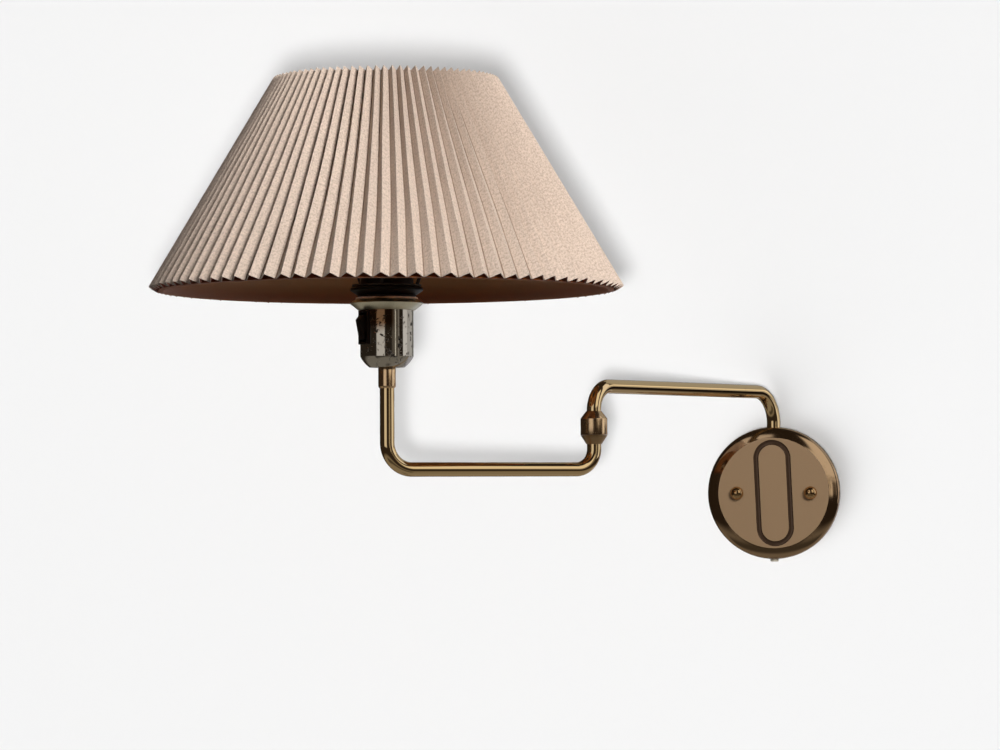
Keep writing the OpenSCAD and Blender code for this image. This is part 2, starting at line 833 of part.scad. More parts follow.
module lower_shade_ring() {
    ring_r = lower_ring_d / 2;
    bevel = 0.9;
    edge_z = lower_ring_h - ring_top_h;
    color("#1c1a18") at_holder(lower_ring_z) rotate_extrude() polygon([
        [ring_bore_r, 0], [flange_d / 2, 0], [ring_r, ring_flare_h],
        [ring_r, edge_z - bevel / 2], [ring_r - bevel, edge_z + bevel / 2],
        [ring_seat_d / 2, lower_ring_h], [ring_bore_r, lower_ring_h]
    ]);
}

module upper_shade_ring() {
    color("#1c1a18") at_holder(upper_ring_z)
        ring(upper_ring_d / 2, ring_bore_r, upper_ring_h);
}

module switch_frame() {
    color("#3a2418") at_switch() difference() {
        translate([frame_back, -frame_w / 2, -frame_h / 2])
            cube([frame_t, frame_w, frame_h]);
        translate([frame_back - past, -window_half_w, -window_half_h])
            cube([frame_t + 2 * past, 2 * window_half_w, 2 * window_half_h]);
    }
}

module switch_box() {
    floor_t = 1.5;
    color("#3a2418") at_switch() difference() {
        translate([box_back, -box_half_w, -box_half_h])
            cube([frame_back - box_back, 2 * box_half_w, 2 * box_half_h]);
        translate([box_back + floor_t, -window_half_w, -window_half_h])
            cube([frame_back, 2 * window_half_w, 2 * window_half_h]);
        translate([switch_pivot, box_half_w + past, 0]) rotate([90, 0, 0])
            cylinder(r = rocker_pin_d / 2 + fixed_gap, h = 2 * box_half_w + 2 * past);
    }
}

module rocker_pin() {
    color("silver") at_switch() translate([switch_pivot, box_half_w, 0])
        rotate([90, 0, 0]) cylinder(d = rocker_pin_d, h = 2 * box_half_w);
}

// The rocker's front has a ridge near its top, and it rests with that pushed out
module switch_rocker() {
    front = frame_front - switch_pivot;
    back = 3.2;
    back_half_h = rocker_h / 2 - 4.2;
    color("#3a2418") at_switch() translate([switch_pivot, 0, 0]) rotate([90, 0, 0])
        translate([0, 0, -rocker_w / 2]) linear_extrude(rocker_w) difference() {
            polygon([
                [-back, -back_half_h], [front + 1.4, -rocker_h / 2],
                [front + rocker_out, rocker_ridge_z], [front + 1.2, rocker_h / 2],
                [-back, back_half_h]
            ]);
            circle(rocker_pin_d / 2 + run_gap);
        }
}

// A wire ring inside the shade, so far up its slope
module wire_ring(up, extra = 0) {
    at_holder(shade_up(up, wire_depth)) rotate_extrude()
        translate([shade_r(up, wire_depth), 0]) circle(wire_r + extra);
}

module fitter_ring() {
    color("silver") at_holder(fitter_z) ring(fitter_d / 2, skirt_r + 0.5, fitter_t);
}

// The arms are butt welded to the rings, from the fitter up to the top wire
arm_top_up = shade_slant - wire_inset;

module shade_arms() {
    foot_z = fitter_z + fitter_t + wire_r * 0.4;
    arm_rise = shade_up(arm_top_up, wire_depth) - foot_z;
    arm_run = shade_r(arm_top_up, wire_depth) - arm_foot_r;
    color("silver") difference() {
        for (i = [0 : spider_arms - 1])
            at_holder(foot_z) rotate([0, 0, 30 + 360 * i / spider_arms])
                translate([arm_foot_r, 0, 0]) rotate([0, atan2(arm_run, arm_rise), 0])
                    cylinder(r = wire_r, h = norm([arm_rise, arm_run]));
        wire_ring(arm_top_up, fixed_gap);
        at_holder(fitter_z) cylinder(d = fitter_d + past, h = fitter_t + fixed_gap);
    }
}

module shade_top_ring() {
    color("silver") wire_ring(arm_top_up);
}

module shade_bottom_ring() {
    color("silver") wire_ring(wire_inset);
}

module shade_liner() {
    function edge(up, depth) = [shade_r(up, depth), shade_up(up, depth)];
    inset = 0.5;
    color("#a08868") at_holder(0) rotate_extrude() polygon([
        edge(inset, liner_depth), edge(shade_slant - inset, liner_depth),
        edge(shade_slant - inset, liner_depth + liner_t), edge(inset, liner_depth + liner_t)
    ]);
}

// The pleats: a zigzag round the cone, cut square to the cone at both ends
module shade_cover() {
    sides = 2 * pleat_count;
    // Height up the slope and depth at the four corners of the sheet's section
    corners = [[0, 0], [shade_slant, 0], [shade_slant, cover_t], [0, cover_t]];
    function corner_point(corner, i) =
        let (up = corner[0], depth = corner[1] + (i % 2) * pleat_depth,
             turn = pleat_phase + 180 * i / pleat_count)
        [shade_r(up, depth) * cos(turn), shade_r(up, depth) * sin(turn), shade_up(up, depth)];
    points = [for (corner = corners) for (i = [0 : sides - 1]) corner_point(corner, i)];
    // The two walls of a pleat's side are split the same way, so they never cross
    faces = [for (k = [0 : 3]) for (i = [0 : sides - 1])
        let (a = k * sides, b = ((k + 1) % 4) * sides, j = (i + 1) % sides)
        each k == 2 ? [[a + i, b + i, a + j], [b + i, b + j, a + j]]
            : [[a + i, b + i, b + j], [a + i, b + j, a + j]]];
    color("#c9a890") at_holder(0) polyhedron(points, faces);
}

back_plate();
wall_plate();
plate_studs();
cap_nuts();
pivot_housing();
housing_screws();
pivot_washer();
terminal_block();
terminal_screws();
earth_screw();
cord_clamp();
clamp_screws();
cord_grommet();
inlet_wiring();
upper_tube();
thrust_collar();
pivot_spring_washer();
pivot_nut();
elbow_cup();
elbow_bush();
upper_wiring();
elbow_spindle();
elbow_spring_washer();
elbow_nut();
lower_tube();
lower_wiring();
stem_sleeve();
holder_shell();
holder_nut();
holder_leads();
flare_cup();
holder_gasket();
threaded_skirt();
contact_insert();
screw_shell();
centre_contact();
lower_shade_ring();
upper_shade_ring();
switch_frame();
switch_box();
rocker_pin();
switch_rocker();
fitter_ring();
shade_arms();
shade_top_ring();
shade_bottom_ring();
shade_liner();
shade_cover();
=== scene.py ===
import json
from math import atan, cos, hypot, pi, radians, sin

import bmesh
import bpy
from bmesh.types import BMEdge, BMFace, BMVert
from bpy.props import FloatProperty, FloatVectorProperty, IntProperty, PointerProperty
from mathutils import Matrix, Vector, noise


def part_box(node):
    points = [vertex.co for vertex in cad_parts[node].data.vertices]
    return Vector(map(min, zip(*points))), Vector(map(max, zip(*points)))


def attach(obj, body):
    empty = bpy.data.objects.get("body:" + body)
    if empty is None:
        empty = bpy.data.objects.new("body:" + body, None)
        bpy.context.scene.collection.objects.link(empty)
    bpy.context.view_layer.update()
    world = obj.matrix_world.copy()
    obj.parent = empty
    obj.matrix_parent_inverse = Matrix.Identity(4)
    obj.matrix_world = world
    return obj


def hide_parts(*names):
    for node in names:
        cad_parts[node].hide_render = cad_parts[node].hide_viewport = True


bl_info = {
    "name": "Swing-arm wall light",
    "version": (1, 0, 0),
    "blender": (4, 5, 0),
    "location": "View3D > Sidebar > Wall light",
    "description": "Dresses a swing-arm wall light with a pleated shade and its studio",
    "category": "Add Mesh",
}

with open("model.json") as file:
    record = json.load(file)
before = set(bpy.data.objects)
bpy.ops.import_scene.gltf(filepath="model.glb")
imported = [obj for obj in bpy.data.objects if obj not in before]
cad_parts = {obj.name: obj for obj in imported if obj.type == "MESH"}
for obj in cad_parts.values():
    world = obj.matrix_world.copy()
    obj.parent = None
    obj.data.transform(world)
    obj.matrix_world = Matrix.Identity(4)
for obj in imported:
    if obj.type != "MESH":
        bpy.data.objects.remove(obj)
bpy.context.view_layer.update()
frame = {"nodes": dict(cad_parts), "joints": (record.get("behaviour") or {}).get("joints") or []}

MM = 0.001
JOINTS = {joint["name"]: joint for joint in frame["joints"]}
WALL_PIVOT = Vector(JOINTS["wall_pivot"]["pos_m"])
ELBOW = Vector(JOINTS["elbow_pivot"]["pos_m"])
ELBOW.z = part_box("elbow_spindle")[0].z
HOLDER = Vector(JOINTS["shade_turn"]["pos_m"])
FITTER_Z = HOLDER.z
HOLDER.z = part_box("holder_shell")[0].z
TUBE_R = 6 * MM
UPPER_ARM_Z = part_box("upper_tube")[1].z - TUBE_R
LOWER_ARM_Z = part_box("lower_tube")[0].z + TUBE_R
SWITCH_TURN = radians(220)
SHADE_AXIS = Vector((HOLDER.x, HOLDER.y, 0))
FACING_ROOM = Matrix.Rotation(pi / 2, 4, "X")
SAME_PLACE = 1e-6

# What several pieces share; heights are over the foot of the lampholder's shell
TUBE_BORE = TUBE_R + 0.05 * MM
SOCKET_DEPTH = 4 * MM
PLATE_DEPTH = 25 * MM
RING_BORE = 20.2 * MM
FLANGE_R = 24.2 * MM
CUP_NECK_Z = 46.9 * MM
CUP_TOP_Z = 56.1 * MM
WASHER_TOP_Z = 57.4 * MM


def colour(name, value, description):
    return FloatVectorProperty(
        name=name, description=description, default=value, size=3,
        subtype="COLOR", min=0.0, max=1.0)


def length(name, value, description):
    return FloatProperty(
        name=name, description=description, default=value * MM,
        subtype="DISTANCE", unit="LENGTH", min=0.0, precision=4)


class WallLightSizes(bpy.types.PropertyGroup):
    """Sizes of the lamp's visible pieces"""
    face_r: length("Face radius", 49.6, "Radius of the plate's satin face")
    shoulder_r: length("Shoulder", 8.6, "Radius of the plate's rounded shoulder")
    plate_wall: length("Plate wall", 1.5, "Sheet thickness of the wall plate")
    line_r: length("Line radius", 14.45, "Radius of the pressed line's round ends")
    line_straight: length("Line straight", 31.2, "Half the length of its straight sides")
    line_w: length("Line width", 4.5, "Width of the pressed line")
    line_depth: length("Line depth", 1.0, "Depth of the pressed line")
    line_lean: FloatProperty(
        name="Line lean", description="How far the pressed line leans to the left",
        default=radians(2.4), subtype="ANGLE", unit="ROTATION")
    cap_r: length("Cap nut radius", 6.0, "Radius of the domed cap nuts")
    bend_r: length("Bend radius", 17.0, "Centreline radius of the tight bends")
    plate_bend_r: length("Plate bend", 28.0, "Centreline radius of the bend above the plate")
    elbow_bend_r: length("Elbow bend", 21.0, "Centreline radius of the bend above the elbow")
    stem_bend_r: length("Stem bend", 22.0, "Centreline radius of the bend below the stem")
    elbow_r: length("Elbow radius", 11.35, "Radius of the elbow barrel")
    elbow_h: length("Elbow height", 28.0, "Height of the elbow barrel")
    elbow_cone: length("Elbow cone", 6.5, "Height of the barrel's upper cone")
    elbow_foot: length("Elbow foot", 7.5, "Height of the barrel's lower cone")
    shell_r: length("Shell radius", 21.9, "Radius of the lampholder's shell")
    shell_h: length("Shell height", 48.0, "Height of the lampholder's shell")
    shell_foot_r: length("Shell foot", 14.6, "Radius of the shell's flat underside")
    shell_foot_h: length("Shell foot height", 8.8, "Height of the shell's rounded foot")
    cup_neck_r: length("Cup neck", 23.2, "Radius of the flared cup's neck")
    cup_edge_r: length("Cup edge", 30.5, "Radius of the flared cup's sharp edge")
    cup_top_r: length("Cup top", 25.8, "Radius of the flared cup's flat top")
    skirt_r: length("Skirt radius", 20.0, "Radius over the skirt's thread")
    skirt_pitch: length("Skirt pitch", 2.5, "Pitch of the skirt's thread")
    ring_r: length("Shade ring", 30.0, "Radius of the lower shade ring")
    frame_w: length("Switch frame width", 15.2, "Width of the switch frame")
    frame_h: length("Switch frame height", 28.0, "Height of the switch frame")
    rocker_w: length("Rocker width", 8.4, "Width of the rocker")
    shade_bottom_r: length("Shade bottom", 195.5, "Radius over the pleats at the bottom")
    shade_top_r: length("Shade top", 93.0, "Radius over the pleats at the top")
    shade_h: length("Shade height", 172.4, "Height of the shade along its axis")
    shade_drop: length("Shade drop", 0.1, "How far the shade hangs below its fitter")
    pleats: IntProperty(
        name="Pleats", description="Number of pleats", default=90, min=30, max=140)
    pleat_depth: length("Pleat depth", 7.4, "Depth of a pleat, square to the slope")
    pleat_lean: FloatProperty(
        name="Pleat lean", description="How far the folds lie over, as a share of their pitch",
        default=0.16, min=0.0, max=0.3)
    pleat_phase: FloatProperty(
        name="Pleat phase", description="Direction of the first ridge",
        default=radians(1.2), subtype="ANGLE", unit="ROTATION")
    cloth_t: length("Cloth", 0.6, "Thickness of the pleated cloth")
    liner_depth: length("Liner depth", 8.75, "Depth of the liner below the ridges")
    liner_t: length("Liner", 0.8, "Thickness of the liner")
    liner_inset: length("Liner inset", 1.0, "How far the liner stops short of the pleats' edges")
    wire_r: length("Wire radius", 1.5, "Radius of the shade's wires")
    wire_depth: length("Wire depth", 11.15, "Depth of the shade's wires below the ridges")
    wire_inset: length("Wire inset", 4.0, "How far the wires stop short of the pleats' edges")


class WallLightColours(bpy.types.PropertyGroup):
    """Colours of the lamp's materials"""
    brass: colour("Brass", (0.82, 0.62, 0.36), "Polished brass of the tubes")
    satin: colour("Satin brass", (0.362, 0.238, 0.137), "Satin face of the wall plate")
    rim: colour("Rim brass", (0.52, 0.37, 0.24), "Polished rim of the wall plate")
    nickel: colour("Nickel", (0.53, 0.505, 0.465), "Aged nickel of the lampholder")
    cup: colour("Cup nickel", (0.84, 0.83, 0.69), "Grey-green cast of the flared cup")
    black: colour("Black", (0.0045, 0.0022, 0.0018), "Black phenolic moulding")
    brown: colour("Brown", (0.010, 0.005, 0.004), "Brown phenolic moulding")
    gasket: colour("Fibre", (0.80, 0.63, 0.52), "Pressed fibre washer")
    cloth: colour("Cloth", (0.62, 0.492, 0.40), "Outside of the pleated cloth")
    cloth_inside: colour("Cloth inside", (0.36, 0.095, 0.04), "Inside of the pleats")
    liner: colour("Liner", (0.41, 0.185, 0.056), "Smooth liner of the shade")
    # A dark colour painted into the pressed line as its shade
    lacquer: colour("Lacquer", (0.060, 0.034, 0.020), "Dark lacquer in the pressed line")
    rubber: colour("Rubber", (0.62, 0.55, 0.44), "Pale inlet grommet")
    zinc: colour("Zinc", (0.55, 0.55, 0.53), "Zinc plated steel")
    nylon: colour("Nylon", (0.80, 0.76, 0.66), "Natural nylon")
    ceramic: colour("Ceramic", (0.80, 0.78, 0.72), "Unglazed ceramic")
    cable: colour("Cable", (0.05, 0.04, 0.035), "Cable sheath")
    wire: colour("Wire", (0.02, 0.014, 0.010), "Dark painted wire of the shade")
    backdrop: colour("Backdrop", (0.921, 0.921, 0.921), "Wall and floor as the camera sees them")


# Node trees

class Tree:
    """Adds nodes to one node tree and links them."""

    def __init__(self, tree):
        self.tree = tree

    def add(self, kind, inputs=None, **settings):
        node = self.tree.nodes.new(kind)
        for name, value in settings.items():
            setattr(node, name, value)
        for name, value in (inputs or {}).items():
            self.put(node.inputs[name], value)
        return node

    def put(self, socket, value):
        if isinstance(value, bpy.types.NodeSocket):
            self.tree.links.new(value, socket)
        elif isinstance(value, (tuple, list, Vector)) and len(socket.default_value) == 4:
            socket.default_value = (*value[:3], 1.0)
        else:
            socket.default_value = value

    def math(self, operation, *values, clamp=False):
        node = self.add("ShaderNodeMath", operation=operation, use_clamp=clamp)
        for socket, value in zip(node.inputs, values):
            self.put(socket, value)
        return node.outputs[0]

    def mix(self, factor, a, b, blend="MIX"):
        node = self.add("ShaderNodeMix", data_type="RGBA", blend_type=blend)
        for socket, value in zip((node.inputs[0], node.inputs[6], node.inputs[7]), (factor, a, b)):
            self.put(socket, value)
        return node.outputs[2]

    def remap(self, value, low, high, to_low=0.0, to_high=1.0, smooth=False):
        node = self.add(
            "ShaderNodeMapRange", clamp=True,
            interpolation_type="SMOOTHSTEP" if smooth else "LINEAR",
            inputs={"Value": value, "From Min": low, "From Max": high,
                    "To Min": to_low, "To Max": to_high})
        return node.outputs["Result"]

    def noise(self, vector, scale, detail=3.0, rough=0.5, out="Fac"):
        node = self.add("ShaderNodeTexNoise", {
            "Vector": vector, "Scale": scale, "Detail": detail, "Roughness": rough})
        return node.outputs[out]

    def stretch(self, vector, scale):
        return self.add("ShaderNodeMapping", {"Vector": vector, "Scale": scale}).outputs["Vector"]

    def split(self, vector):
        return self.add("ShaderNodeSeparateXYZ", {"Vector": vector}).outputs

    def bump(self, height, strength, distance, normal=None):
        inputs = {"Height": height, "Strength": strength, "Distance": distance}
        if normal is not None:
            inputs["Normal"] = normal
        return self.add("ShaderNodeBump", inputs).outputs["Normal"]

    def blend(self, factor, a, b):
        """A node that goes over from one shader node to another."""
        node = self.add("ShaderNodeMixShader")
        for socket, value in zip(node.inputs, (factor, a.outputs[0], b.outputs[0])):
            self.put(socket, value)
        return node


def empty_tree(owner):
    """The emptied node tree of a material, a world or a light."""
    owner.use_nodes = True
    owner.node_tree.nodes.clear()
    return Tree(owner.node_tree)


def node_group(name, inputs, *outputs):
    """An empty shader group. None makes a vector input, a number makes a value."""
    group = bpy.data.node_groups.new(name, "ShaderNodeTree")
    for socket, default in inputs.items():
        kind = "NodeSocketVector" if default is None else "NodeSocketFloat"
        made = group.interface.new_socket(name=socket, in_out="INPUT", socket_type=kind)
        if default is not None:
            made.default_value = default
    for socket in outputs:
        group.interface.new_socket(name=socket, in_out="OUTPUT", socket_type="NodeSocketFloat")
    t = Tree(group)
    return group, t, t.add("NodeGroupInput").outputs, t.add("NodeGroupOutput").inputs


def tarnish_group():
    """Cloudy tarnish and finger marks: a mask, and a faint unevenness."""
    group, t, source, target = node_group(
        "Tarnish", {"Vector": None, "Scale": 30.0, "Amount": 0.5}, "Mask", "Height")
    broad = t.noise(source["Vector"], source["Scale"], 5.0, 0.6)
    fine = t.noise(source["Vector"], t.math("MULTIPLY", source["Scale"], 9.0), 3.0, 0.7)
    cloud = t.math("MULTIPLY_ADD", fine, 0.35, t.math("MULTIPLY", broad, 0.75))
    level = t.math("SUBTRACT", 0.78, t.math("MULTIPLY", source["Amount"], 0.4))
    t.put(target["Mask"], t.remap(cloud, level, t.math("ADD", level, 0.22), smooth=True))
    t.put(target["Height"], broad)
    return group


def grain_group():
    """Fine even grain of a satin or moulded surface."""
    group, t, source, target = node_group(
        "Fine grain", {"Vector": None, "Scale": 900.0, "Contrast": 0.5}, "Mask", "Height")
    grain = t.noise(source["Vector"], source["Scale"], 4.0, 0.75)
    reach = t.math("SUBTRACT", 0.35, t.math("MULTIPLY", source["Contrast"], 0.3))
    t.put(target["Mask"], t.remap(
        grain, t.math("SUBTRACT", 0.5, reach), t.math("ADD", 0.5, reach)))
    t.put(target["Height"], grain)
    return group


def pit_group():
    """Corrosion pits: small dark spots in loose clusters."""
    group, t, source, target = node_group(
        "Pits", {"Vector": None, "Scale": 260.0, "Spread": 0.5}, "Mask")
    bends = t.noise(source["Vector"], 420.0, 3.0, out="Color")
    bent = t.add("ShaderNodeVectorMath", operation="MULTIPLY_ADD")
    for socket, value in zip(bent.inputs, (bends, (0.004, 0.004, 0.004), source["Vector"])):
        t.put(socket, value)
    spots = t.noise(bent.outputs[0], source["Scale"], 4.0, 0.62)
    cluster = t.noise(source["Vector"], 55.0, 2.0)
    level = t.math("SUBTRACT", 0.86, t.math("MULTIPLY", source["Spread"], 0.2))
    level = t.math("SUBTRACT", level, t.math("MULTIPLY", cluster, 0.22))
    t.put(target["Mask"], t.remap(spots, level, t.math("ADD", level, 0.035), smooth=True))
    return group


def linen_group():
    """A linen weave on a sheet laid out in metres: threads, slubs and fuzz."""
    group, t, source, target = node_group(
        "Linen weave", {"Vector": None, "Threads": 1500.0, "Slub": 0.5},
        "Height", "Slubs", "Fuzz")
    place = t.split(source["Vector"])
    turn = t.math("MULTIPLY", source["Threads"], pi)
    across, along = (
        t.math("ABSOLUTE", t.math("SINE", t.math("MULTIPLY", place[axis], turn)))
        for axis in "XY")
    warp = t.noise(t.stretch(source["Vector"], (1500, 45, 1)), 1.0, 2.0)
    weft = t.noise(t.stretch(source["Vector"], (60, 1400, 1)), 1.0, 2.0)
    slubs = t.math("MULTIPLY_ADD", warp, 0.5, t.math("MULTIPLY", weft, 0.5))
    t.put(target["Height"], t.math(
        "MULTIPLY_ADD", slubs, t.math("MULTIPLY", source["Slub"], 2.0),
        t.math("MULTIPLY", across, along)))
    t.put(target["Slubs"], t.remap(slubs, 0.32, 0.68))
    t.put(target["Fuzz"], t.noise(source["Vector"], 700.0, 4.0, 0.8))
    return group


def panel_group():
    """A soft-edged panel of light in the surroundings, placed by direction in degrees."""
    group, t, source, target = node_group(
        "Light panel",
        {"Azimuth": 0.0, "Elevation": 0.0, "Left": -10.0, "Right": 10.0, "Bottom": -10.0,
         "Top": 10.0, "Edge": 2.0}, "Mask")
    masks = []
    for axis, low, high in (("Azimuth", "Left", "Right"), ("Elevation", "Bottom", "Top")):
        rise = t.remap(source[axis], source[low], t.math("ADD", source[low], source["Edge"]))
        fall = t.remap(source[axis], t.math("SUBTRACT", source[high], source["Edge"]),
                       source[high], 1.0, 0.0)
        masks.append(t.math("MULTIPLY", rise, fall))
    t.put(target["Mask"], t.math("MULTIPLY", *masks))
    return group


GROUP_MAKERS = {
    "Tarnish": tarnish_group, "Fine grain": grain_group, "Pits": pit_group,
    "Linen weave": linen_group, "Light panel": panel_group,
}


def use_group(tree, name, **inputs):
    """The outputs of the named group, placed in a tree with these inputs."""
    group = bpy.data.node_groups.get(name) or GROUP_MAKERS[name]()
    return tree.add("ShaderNodeGroup", inputs, node_tree=group).outputs


def scaled(tint, share):
    return tuple(channel * share for channel in tint)


def new_material(name):
    """A material with one Principled BSDF, its tree and Object coordinates."""
    material = bpy.data.materials.new("dressed_" + name)
    t = empty_tree(material)
    surface = t.add("ShaderNodeBsdfPrincipled")
    t.add("ShaderNodeOutputMaterial", {"Surface": surface.outputs["BSDF"]})
    place = t.add("ShaderNodeTexCoord").outputs["Object"]
    return material, t, surface.inputs, place


def metal(name, base, tarnished, rough, tarnish, scale, grain=0.0, metallic=1.0):
    """Polished or satin metal with cloudy tarnish and a slightly uneven surface."""
    wave, grain_depth = 0.01 * MM, 0.12 * MM
    roughest = 0.5
    material, t, surface, place = new_material(name)
    marks = use_group(t, "Tarnish", Vector=place, Scale=scale, Amount=tarnish)
    t.put(surface["Base Color"], t.mix(marks["Mask"], base, tarnished))
    t.put(surface["Metallic"], metallic)
    uneven = t.bump(marks["Height"], 1.0, wave)
    if grain:
        fine = use_group(t, "Fine grain", Vector=place, Scale=1500.0, Contrast=0.4)
        roughness = t.remap(fine["Mask"], 0.0, 1.0, rough * 0.8, rough * 1.25)
        uneven = t.bump(fine["Height"], grain, grain_depth, uneven)
    else:
        roughness = t.remap(marks["Mask"], 0.0, 1.0, rough, min(rough * 2, roughest))
    t.put(surface["Roughness"], roughness)
    t.put(surface["Normal"], uneven)
    return material


def moulding(name, base, rough, pale=0.0, shine=0.5):
    """Hard moulded plastic with a faint grain and a little dust."""
    material, t, surface, place = new_material(name)
    fine = use_group(t, "Fine grain", Vector=place, Scale=1100.0, Contrast=0.3)
    marks = use_group(t, "Tarnish", Vector=place, Scale=60.0, Amount=0.5)
    dusty = tuple(min(1.0, channel + pale) for channel in scaled(base, 1.35))
    t.put(surface["Base Color"], t.mix(marks["Mask"], base, dusty))
    t.put(surface["Specular IOR Level"], shine)
    t.put(surface["Roughness"], t.remap(marks["Mask"], 0.0, 1.0, rough, rough + 0.2))
    t.put(surface["Normal"], t.bump(fine["Height"], 0.25, 0.1 * MM))
    return material


def nickel_shell(name, base):
    """Aged nickel with dark pits, and a painted brown reflection under the cup but for a strip on
    the right.
    """
    tarnished, painted_reflection, pitted = (0.37, 0.34, 0.29), (0.17, 0.085, 0.035), (0.03, 0.025, 0.02)
    reflection_low, reflection_high = HOLDER.z + 32 * MM, HOLDER.z + 42 * MM
    strip_left, strip_right = HOLDER.x + 7 * MM, HOLDER.x + 10 * MM
    ragged_by = 9 * MM
    material, t, surface, place = new_material(name)
    marks = use_group(t, "Tarnish", Vector=place, Scale=45.0, Amount=0.35)
    pits = use_group(t, "Pits", Vector=place, Scale=260.0, Spread=0.8)["Mask"]
    at = t.split(place)
    # Painted reflection: above a ragged height the shell turns brown, as if it reflected the
    # shade's inside, except on a strip at the right
    height = t.math("MULTIPLY_ADD", marks["Height"], ragged_by, at["Z"])
    brown = t.remap(height, reflection_low, reflection_high, 0.0, 0.95, smooth=True)
    bright_strip_spared = t.remap(at["X"], strip_left, strip_right, 1.0, 0.12, smooth=True)
    shade = t.mix(marks["Mask"], base, tarnished)
    shade = t.mix(t.math("MULTIPLY", brown, bright_strip_spared), shade, painted_reflection)
    t.put(surface["Base Color"], t.mix(pits, shade, pitted))
    t.put(surface["Metallic"], t.remap(pits, 0.0, 1.0, 1.0, 0.2))
    rough = t.remap(marks["Mask"], 0.0, 1.0, 0.07, 0.2)
    t.put(surface["Roughness"], t.math("MULTIPLY_ADD", pits, 0.5, rough, clamp=True))
    uneven = t.bump(marks["Height"], 1.0, 0.06 * MM)
    t.put(surface["Normal"], t.bump(t.math("SUBTRACT", 1.0, pits), 0.5, 0.2 * MM, uneven))
    return material


def pleat_linen(name, base):
    """Linen on the cover's own UV map, laid out in metres, with painted shade along its inner
    folds.
    """
    sizes = bpy.context.scene.wall_light_sizes
    pleat = WALL_LIGHT_OT_cover.sheet_width(sizes) / sizes.pleats
    light, dark = tuple(min(1.0, channel) for channel in scaled(base, 1.10)), scaled(base, 0.7)
    flecked = scaled(dark, 0.72)
    # Colour painted into the inner folds as their shade
    painted_fold_shade = tuple(channel * shade_share for channel, shade_share in zip(dark, (0.34, 0.25, 0.18)))
    crease_inner, crease_outer = 0.012, 0.065
    material, t, surface, _ = new_material(name)
    sheet = t.add("ShaderNodeUVMap", uv_map="sheet").outputs["UV"]
    weave = use_group(t, "Linen weave", Vector=sheet, Threads=1500.0, Slub=0.6)
    stain_and_fold_shade_noise = t.noise(sheet, 9.0, 4.0, 0.6)
    mottled = t.noise(sheet, 520.0, 2.0, 0.6)
    shade = t.mix(weave["Slubs"], dark, light)
    shade = t.mix(t.remap(weave["Fuzz"], 0.35, 0.65, 0.0, 0.35), shade, base)
    shade = t.mix(t.remap(stain_and_fold_shade_noise, 0.45, 0.8, 0.0, 0.35), shade, dark)
    shade = t.mix(t.remap(mottled, 0.42, 0.68, 0.0, 0.7), shade, flecked)
    across = t.split(sheet)["X"]
    # Painted shade: a thin dark band along each inner fold, uneven along its length
    fold = t.math("FRACT", t.math("DIVIDE", across, pleat))
    from_valley = t.math("ABSOLUTE", t.math("SUBTRACT", fold, 0.5))
    fold_shade = t.remap(from_valley, crease_inner, crease_outer, 1.0, 0.0, smooth=True)
    fold_shade = t.math("MULTIPLY", fold_shade, t.remap(stain_and_fold_shade_noise, 0.3, 0.7, 0.55, 1.0))
    t.put(surface["Base Color"], t.mix(fold_shade, shade, painted_fold_shade))
    for socket, value in (("Roughness", 0.92), ("Sheen Weight", 0.12), ("Sheen Roughness", 0.5),
                          ("Specular IOR Level", 0.15)):
        t.put(surface[socket], value)
    t.put(surface["Normal"], t.bump(weave["Height"], 0.35, 0.2 * MM))
    return material


def liner_card(name, base):
    """Smooth laminated card that goes redder towards the shade's lower edge."""
    red = (0.26, 0.062, 0.012)
    lowest, red_height = FITTER_Z - 4.2 * MM, 20 * MM
    material, t, surface, place = new_material(name)
    height = t.split(place)["Z"]
    near_edge = t.remap(height, lowest, lowest + red_height, 1.0, 0.0, smooth=True)
    fine = use_group(t, "Fine grain", Vector=place, Scale=500.0, Contrast=0.3)
    grain = t.math("MULTIPLY", fine["Mask"], 0.3)
    shade = t.mix(near_edge, base, red)
    t.put(surface["Base Color"], t.mix(grain, shade, scaled(base, 0.8)))
    t.put(surface["Roughness"], 0.6)
    t.put(surface["Normal"], t.bump(fine["Height"], 0.2, 0.1 * MM))
    return material


